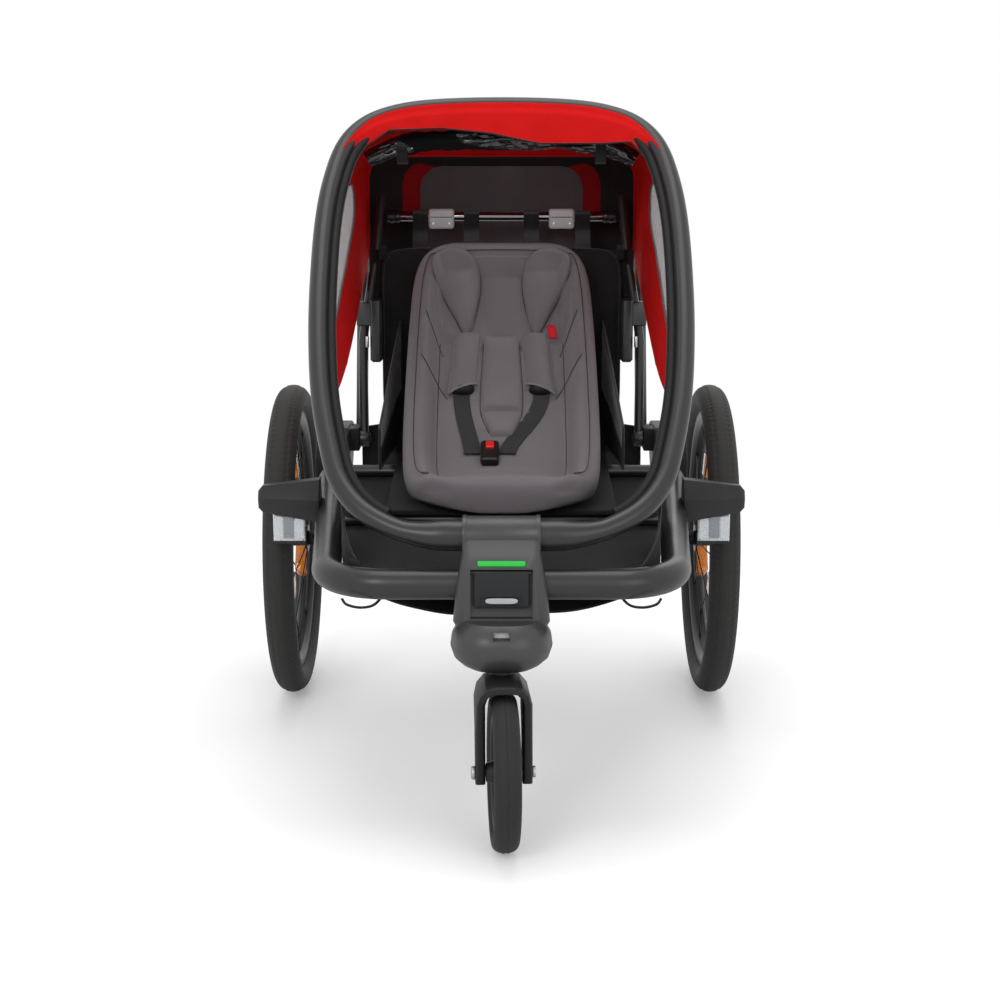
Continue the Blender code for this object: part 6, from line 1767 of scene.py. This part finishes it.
@dataclass
class Insert(Assembly):
    """The padded infant insert with its head hugger, pads, harness and buckle."""

    knots: Tuple[Pair, ...] = ((-0.420, 0.394), (-0.340, 0.395), (-0.240, 0.413), (-0.150, 0.465),
                               (-0.085, 0.548), (-0.035, 0.642), (0.003, 0.724))
    halves: Tuple[Pair, ...] = (
        (0.0, 0.080), (0.014, 0.0965), (0.04, 0.1125), (0.085, 0.1255), (0.15, 0.1365), (0.30, 0.1460),
        (0.48, 0.1500), (0.66, 0.1475), (0.80, 0.1425), (0.89, 0.1365), (0.945, 0.1265), (0.98, 0.1100),
        (1.0, 0.0860))
    rim_height: float = 0.031
    mesh_from: float = 0.46

    def at_lining(self, s: float) -> Tuple[Vector, Vector]:
        """Place and forward normal of the lining at a share of its length."""
        knots = [Vector((0, y, z)) for y, z in self.knots]
        place = min(max(s, 0.0), 1.0) * (len(knots) - 1)
        i = min(int(place), len(knots) - 2)
        point, slope = curve_at(knots, i, place - i)
        tangent = slope.normalized()
        return at(0, point.y, point.z), Vector((0, -tangent.z, tangent.y))

    def half(self, s: float) -> float:
        """Half the insert's width at a share of its length."""
        return read_curve(self.halves, s)

    def rim(self, s: float, x: float) -> float:
        """Height of the padded rim above the lining."""
        side = ramp(0.62, 0.82, abs(x / self.half(s)))
        ends = max(ramp(0.89, 0.97, s), ramp(0.10, 0.025, s) if s < 0.10 else 0.0)
        return self.rim_height * max(side, ends)

    def on(self, s: float, x: float, height: float, sunk: float = 1.0) -> Vector:
        """A place above the insert's cover, which follows the rim by the share sunk."""
        point, normal = self.at_lining(s)
        return point + Vector((x, 0, 0)) + normal * (self.rim(s, x) * sunk + height)

    def seams(self) -> List[List[Pair]]:
        """The stitched seams as lines of (share of length, share of half width)."""
        outer = [(0.085 + 0.865 * k / 60, 0.885) for k in range(61)]
        inner = [(s, lerp(0.50, 0.655, ramp(0.10, 0.30, s))) for s in [0.105 + 0.61 * k / 50 for k in range(51)]]
        upper = [(lerp(0.785, 0.68, k / 14), lerp(0.82, 0.62, k / 14)) for k in range(15)]
        lower = [(lerp(0.665, 0.565, k / 14), lerp(0.84, 0.56, k / 14)) for k in range(15)]
        sides = [outer, inner, upper, lower]
        across = [k / 40 for k in range(-40, 41)]
        foot = [(0.105, 0.885 * q) for q in across]
        toe = [(0.036 + 0.049 * abs(q) ** 5, 0.885 * q) for q in across]
        crown = [(0.964 - 0.014 * abs(q) ** 3, 0.885 * q) for q in across]
        return sides + [[(s, -q) for s, q in line] for line in sides] + [foot, toe, crown]

    def build(self) -> None:
        """Make the cover, the pads on it, the harness and the buckle."""
        self.build_cover()
        self.build_head()
        self.build_shoulders()
        self.build_body_pad()
        self.build_straps()
        self.build_buckle()
        tag = PadOutline((0.742, 0.0790), (0.017, 0.0066), square=0.2, slant=-0.002)
        self.soft(self.dome("insert_tag", tag, 0.0020, TAG_RED, lift=0.0054))
        for side in Side:
            self.build_wing(side)

    def soft(self, obj: Thing, *nodes: str, body: str = "base") -> Thing:
        """Mount a piece on a body and give it its own copy of its mesh."""
        self.mount(obj, body, *nodes)
        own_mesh(obj)
        return obj

    def build_cover(self) -> None:
        """The insert's quilted body, with its seams sunk in and stitched."""
        seams = self.seams()
        pins = [self.on(s, q * self.half(s), 0.0) for line in seams for s, q in line]
        tree = tree_of(pins)

        def spread(u: float, v: float) -> Tuple[float, float, float]:
            """Share of length, share across and half width."""
            s, q = 0.5 - 0.5 * cos(pi * u), sin(pi * (v - 0.5))
            return s, q, self.half(s)

        def front(u: float, v: float) -> Vector:
            """The front's place at (u, v)."""
            s, q, half = spread(u, v)
            away = hypot(max((abs(q) - 0.80) / 0.20, 0.0), max((0.050 - s) / 0.050, 0.0),
                         max((s - 0.955) / 0.045, 0.0))
            edge = 0.027 * (1 - sqrt(max(1 - away * away, 0.0)))
            place = self.on(s, half * q, -edge)
            loft = 0.0022 * ramp(0.0, 0.018, tree.find(place)[2]) - 0.0012
            crease = billow(half * q * 30, s * 12, 0.5) * 0.0007
            bolster = 0.007 * sin(pi * min(max((s - 0.012) / 0.090, 0.0), 1.0)) * (1 - abs(q) ** 2.5)
            return place + self.at_lining(s)[1] * (loft + crease + bolster)

        def back(u: float, v: float) -> Vector:
            """The underside's place at (u, v)."""
            s, q, half = spread(u, v)
            point, normal = self.at_lining(s)
            depth = 0.045 * (1 - 0.75 * abs(q) ** 3) * (0.35 + 0.65 * sin(pi * min(max(s, 0.05), 0.95)))
            place = point + Vector((half * q * 0.97, 0, 0)) - normal * depth
            place.y = min(place.y, AXLE_Y + 0.0355)
            place.z = max(place.z, self.board_top(place.y - AXLE_Y))
            return place

        cover = pillow("insert_cover", front, back, 130, 100, INSERT_GREY, sharp=80)
        puff(cover, pins + [back(i / 24, j / 20) for i in range(25) for j in range(21)], 0.007, 0.006)
        self.soft(cover, "infant_insert")
        for n, line in enumerate(seams):
            places = [self.on(s, q * self.half(s), 0.0002) for s, q in line]
            outward = [self.at_lining(s)[1] for s, _ in line]
            self.soft(tube(f"insert_seam_{n}", places, 0.0007, THREAD_GREY, sides=6))
            self.soft(stitches(f"insert_stitches_{n}", places, outward, THREAD_PALE, radius=0.00035))

    def board_top(self, y: float) -> float:
        """Height of the seat board's upper face."""
        front, rear = (bumper_height(v) + 0.0145 for v in (-0.360, -0.075))
        return lerp(front, rear, (y + 0.360) / 0.285) + 0.010 + 0.0006 + 0.008 + 0.0005

    def dome(self, name: str, shape: PadOutline, height: float, finish: Finish, power: float = 0.42,
             lift: float = 0.0012) -> Thing:
        """A plump pad that lies on the insert.

        Args:
            name: the pad's name.
            shape: its outline.
            height: how far it stands up.
            finish: its surface.
            power: how blunt its profile is, less being blunter.
            lift: the height of its underside.

        Returns:
            The pad.
        """
        def front(u: float, v: float) -> Vector:
            """The front's place at (u, v)."""
            a, b = u * 2 - 1, v * 2 - 1
            s, x = shape.spread(a, b)
            inside = max(1 - (a * a + b * b - a * a * b * b), 0.0) ** power
            ripple = billow(x * 40, s * 14, height * 100) * 0.0006
            return self.on(s, x, lift + 0.003 + (height + ripple) * inside, sunk=0.85)

        def back(u: float, v: float) -> Vector:
            """The underside's place at (u, v)."""
            return self.on(*shape.spread(u * 2 - 1, v * 2 - 1), lift, sunk=0.85)

        return pillow(name, front, back, 36, 30, finish, sharp=70)

    def build_head(self) -> None:
        """The head hugger: two rounded lobes beside a plain tongue."""
        for side in Side:
            shape = PadOutline((0.850, side * 0.0650), (0.118, 0.0430), square=0.80, slant=side * 0.010,
                               taper=0.66)
            lobe = self.dome(side.of("head_lobe"), shape, 0.030, INSERT_GREY, power=0.40, lift=0.0030)
            self.soft(lobe, *(["head_pad"] if side < 0 else []))
            line = []
            for turn in [2 * pi * k / 60 for k in range(60)]:
                s, x = shape.spread(blunt(cos(turn), 0.5) * 0.985, blunt(sin(turn), 0.5) * 0.985)
                line.append(self.on(s, x, 0.0078, sunk=0.85))
            self.soft(tube(side.of("head_piping"), line, 0.0013, THREAD_GREY, sides=8, closed=True))
        shape = PadOutline((0.835, 0.0), (0.112, 0.0310), square=0.4)
        tongue = self.soft(self.dome("head_tongue", shape, 0.0065, INSERT_GREY))

    def build_shoulders(self) -> None:
        """The half-round shoulder pads with pale piped edges and open lower ends, each end filled by a near-black
        dome as painted shade.
        """
        for side in Side:
            def section(t: float, b: float, side: Side = side) -> Pair:
                """The section's offsets at a turn and a share."""
                x = side * lerp(0.0600, 0.0520, t) + 0.0225 * b * (1 - 0.10 * t)
                return lerp(0.588 - 0.014 * side * b, 0.735, t), x

            def front(u: float, v: float) -> Vector:
                """The front's place at (u, v)."""
                s, x = section(u, v * 2 - 1)
                arch = sqrt(max(1 - (v * 2 - 1) ** 2, 0.0))
                swell = 0.0150 * (0.86 + 0.14 * sin(pi * u)) * arch
                return self.on(s, x, 0.0030 + swell)

            def back(u: float, v: float) -> Vector:
                """The underside's place at (u, v)."""
                s, x = section(u, (v * 2 - 1) * 0.80)
                arch = sqrt(max(1 - (v * 2 - 1) ** 2, 0.0))
                return self.on(s, x, 0.0012 + 0.0105 * arch * ramp(0.45, 0.0, u) if u < 0.45 else 0.0012)

            pad = pillow(side.of("shoulder_roll"), front, back, 36, 26, INSERT_GREY, sharp=60)
            self.soft(pad, side.of("shoulder_pad"))
            for n, b in enumerate((-0.99, 0.99)):
                line = [self.on(*section(k / 40, b), 0.0042) for k in range(41)]
                self.soft(tube(side.of(f"shoulder_piping_{n}"), line, 0.0013, INSERT_PALE, sides=8))
            lip = [self.on(*section(0.0, b), 0.0034 + 0.0132 * sqrt(1 - b * b))
                   for b in [0.98 * (2 * k / 30 - 1) for k in range(31)]]
            self.soft(tube(side.of("shoulder_lip"), lip, 0.0015, INSERT_PALE, sides=8))
            # Painted shade: a near-black dome fills the pad's open lower end, in place of the shade inside it
            shape = PadOutline((0.5885, side * 0.0600), (0.0150, 0.0178), square=0.9)
            self.soft(self.dome(side.of("shoulder_mouth"), shape, 0.0110, SEAL_RUBBER, power=0.5, lift=0.0022))

    def build_body_pad(self) -> None:
        """The crotch pad between the straps, pointed at its lower end."""
        def section(u: float, v: float) -> Pair:
            """The section's offsets at a turn and a share."""
            half = 0.0330 * ramp(-0.30, 0.34, u) * (1 - 0.16 * ramp(0.45, 1.0, u))
            return lerp(0.438, 0.735, u), half * (v * 2 - 1)

        def front(u: float, v: float) -> Vector:
            """The front's place at (u, v)."""
            seam = 1 - 0.55 * dip(u, 0.27, 0.030)
            ends = (1 - (2 * u - 1) ** 8)
            swell = seam * max(1 - (v * 2 - 1) ** 4, 0.0) ** 0.6 * max(ends, 0.0) ** 0.5
            return self.on(*section(u, v), 0.0030 + 0.0115 * swell)

        def back(u: float, v: float) -> Vector:
            """The underside's place at (u, v)."""
            return self.on(*section(u, v), 0.0014)

        pad = pillow("crotch_pad", front, back, 60, 28, INSERT_GREY, sharp=70)
        self.soft(pad, "body_pad")
        for n, v in enumerate((0.01, 0.99)):
            line = [self.on(*section(k / 40, v), 0.0034) for k in range(41)]
            self.soft(tube(f"crotch_piping_{n}", line, 0.0011, THREAD_GREY, sides=8))

    def build_straps(self) -> None:
        """The webbing from the shoulder pads down to the buckle."""
        for side in Side:
            head, foot = side * 0.0615, -0.0175 + side * 0.0265
            path = [self.on(lerp(0.600, 0.362, run), lerp(head, foot, ramp(0.10, 1.0, run)),
                            0.0022 + 0.0060 * run ** 2) for run in [k / 39 for k in range(40)]]
            strap = sweep(side.of("harness_web"), path, flat_section(0.0250, 0.0018), 24, WEBBING_BLACK, up=ACROSS)
            self.soft(strap, side.of("harness_strap"))
            length = sum((b - a).length for a, b in zip(path, path[1:]))

    def build_buckle(self) -> None:
        """The buckle and its red button."""
        self.soft(self.finer("harness_buckle", BUCKLE_BLACK, 0.0014), "harness_buckle")
        self.soft(self.finer("buckle_button", BUCKLE_RED, 0.0008), "buckle_button", body="buckle_release")

    def build_wing(self, side: Side) -> None:
        """The mesh wing beside the seat, bound round its edge."""
        def surface(u: float, v: float) -> Vector:
            """The sheet's place at (u, v)."""
            y = lerp(0.0352, -0.165, u)
            low = self.board_top(min(y, -0.055)) + 0.0058
            high = lerp(0.600, 0.455, u ** 0.8)
            bow = billow(u * 4, v * 3, side) * 0.0022 * sin(pi * u) * sin(pi * v)
            return at(side * (lerp(0.1630, 0.1860, u ** 0.7) + bow), y, lerp(low, high, v))

        wing = cloth(side.of("wing_mesh"), surface, 60, 50, 0.0016, MESH_GREY)
        wing.data.materials.append(FABRIC_BLACK.material())
        for face in wing.data.polygons:
            face.material_index = 1 if cell_of(wing, face)[1] < self.mesh_from else 0
        self.mount(wing, "base", side.of("mesh_panel"))
        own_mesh(wing)
        rim = [surface(k / 60, 0.0) for k in range(60)] + [surface(1.0, k / 20) for k in range(20)]
        rim += [surface(1 - k / 60, 1.0) for k in range(60)] + [surface(0.0, 1 - k / 40) for k in range(40)]
        binding = tube(side.of("wing_binding"), resample(rim, 200, closed=True), 0.0021, FABRIC_BACK,
                       sides=8, closed=True)
        seam = tube(side.of("wing_seam"), [surface(k / 60, self.mesh_from) for k in range(61)], 0.0018,
                    FABRIC_BACK, sides=8)
        for trim in (binding, seam):
            self.mount(trim, "base")
            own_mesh(trim)


class PushHandle(Assembly):
    """The U handle, lowered behind the body, with its foam grip and the brake pedal."""

    def build(self) -> None:
        """Make the grip and carry the bar and the pedal over."""
        self.refine("handle", FRAME_PAINT, "push_handle", width=0.0006)
        self.refine("pedal", PEDAL_PLASTIC, "brake_pedal", width=0.0016)
        profile = [(-0.150, 0.0103), (0.150, 0.0103), (0.150, 0.0135)]
        for k in range(61):
            along = 0.1495 - 0.299 * k / 60
            end = ramp(0.1495, 0.1440, abs(along)) if abs(along) > 0.1440 else 1.0
            profile.append((along, 0.0138 + 0.0026 * end + 0.0002 * cos(along * 500)))
        profile.append((-0.150, 0.0135))
        grip = lathe("foam_grip", profile, at(0, 0.213, 0.838), ACROSS, 40, GRIP_FOAM)
        self.mount(grip, "handle", "handle_grip")


# Studio

@dataclass(frozen=True)
class Lamp:
    """A square soft lamp: where it stands, what it points at, its size in metres and its power in watts."""

    name: str
    place: Tuple[float, float, float]
    aim: Tuple[float, float, float]
    size: float
    power: float

    def build(self) -> None:
        """Hang the lamp."""
        light = bpy.data.lights.new(self.name, "AREA")
        light.shape = "SQUARE"
        light.size = self.size
        light.energy = self.power
        lamp = bpy.data.objects.new(self.name, light)
        lamp.location = self.place
        lamp.rotation_euler = (Vector(self.aim) - Vector(self.place)).to_track_quat("-Z", "Y").to_euler()
        bpy.context.collection.objects.link(lamp)


@dataclass
class Studio:
    """The pale floor, the white surround, the lamps and the camera."""

    floor_near: float = 0.9
    floor_far: float = 2.1
    floor_lift: float = 0.22
    surround_light: float = 0.73
    lamps: Tuple[Lamp, ...] = (
        Lamp("key_lamp", (-1.3, -3.3, 2.1), (0, 0.1, 0.5), 1.1, 26.0),
        Lamp("fill_lamp", (1.6, -3.2, 1.5), (0, 0.1, 0.5), 1.8, 15.0),
        Lamp("top_lamp", (0.0, 0.2, 3.2), (0, 0, 0.4), 1.8, 24.0),
        Lamp("back_lamp", (0.6, 2.8, 2.2), (0, 0.1, 0.6), 2.0, 9.0))

    def build(self) -> None:
        """Set the stage for the photo's view."""
        self.build_floor()
        self.build_world()
        for lamp in self.lamps:
            lamp.build()
        self.build_camera()

    def build_floor(self) -> None:
        """The floor, which takes the object's shadow and fades into the white surround."""
        floor = make("studio_floor", [Vector((x, y, 0)) for x, y in ((-3, -3), (3, -3), (3, 3), (-3, 3))],
                     [[0, 1, 2, 3]], STUDIO_FLOOR)
        nodes = Nodes(floor.data.materials[0])
        away = nodes.add("ShaderNodeVectorMath", nodes.place, operation="LENGTH").outputs["Value"]
        fade = nodes.add("ShaderNodeMapRange", away, self.floor_near, self.floor_far, 1.0, 0.0,
                         interpolation_type="SMOOTHSTEP")
        seen = nodes.add("ShaderNodeLightPath").outputs["Is Camera Ray"]
        nodes.fill(nodes.shader, Alpha=fade.outputs[0], Emission_Color=(1.0, 1.0, 1.0, 1.0),
                   Emission_Strength=nodes.math("MULTIPLY", seen, self.floor_lift))

    def build_world(self) -> None:
        """A white surround for what is seen, mirrored or shines through, a softer one for the light."""
        world = bpy.data.worlds.new("surround")
        bpy.context.scene.world = world
        bpy.context.scene.view_settings.view_transform = "Standard"
        nodes = Nodes(world)
        rays = nodes.add("ShaderNodeLightPath").outputs
        seen = nodes.math("MAXIMUM", rays["Is Camera Ray"], rays["Is Transmission Ray"])
        seen = nodes.math("MAXIMUM", seen, rays["Is Glossy Ray"])
        level = nodes.fill(nodes.add("ShaderNodeMapRange"), Value=seen, To_Min=self.surround_light, To_Max=1.0)
        nodes.fill(nodes.shader, Color=(1.0, 1.0, 1.0, 1.0), Strength=level.outputs[0])

    def build_camera(self) -> None:
        """The photo's camera: in front, a little above, looking slightly down."""
        lens = bpy.data.cameras.new("photo_camera")
        lens.lens = 66.1
        lens.sensor_width = 36.0
        lens.shift_x = -0.0015
        camera = bpy.data.objects.new("photo_camera", lens)
        camera.location = (0, -2.648, 0.878)
        camera.rotation_euler = (radians(79.1), 0, 0)
        bpy.context.collection.objects.link(camera)
        bpy.context.scene.camera = camera


def main() -> None:
    """Dress the frame and set the stage."""
    logging.basicConfig(level=logging.INFO)
    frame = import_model()
    groups: List[Assembly] = [Bumper(frame), FloorAndBelly(frame), FrontHub(frame), Caster(frame)]
    groups += [RearWheel(frame, side=side) for side in Side]
    groups += [Hoop(frame), Canopy(frame), Upright(frame), Insert(frame), PushHandle(frame)]
    for group in groups:
        group.build()
        group.report()
    Studio().build()


if __name__ == "__main__":
    main()
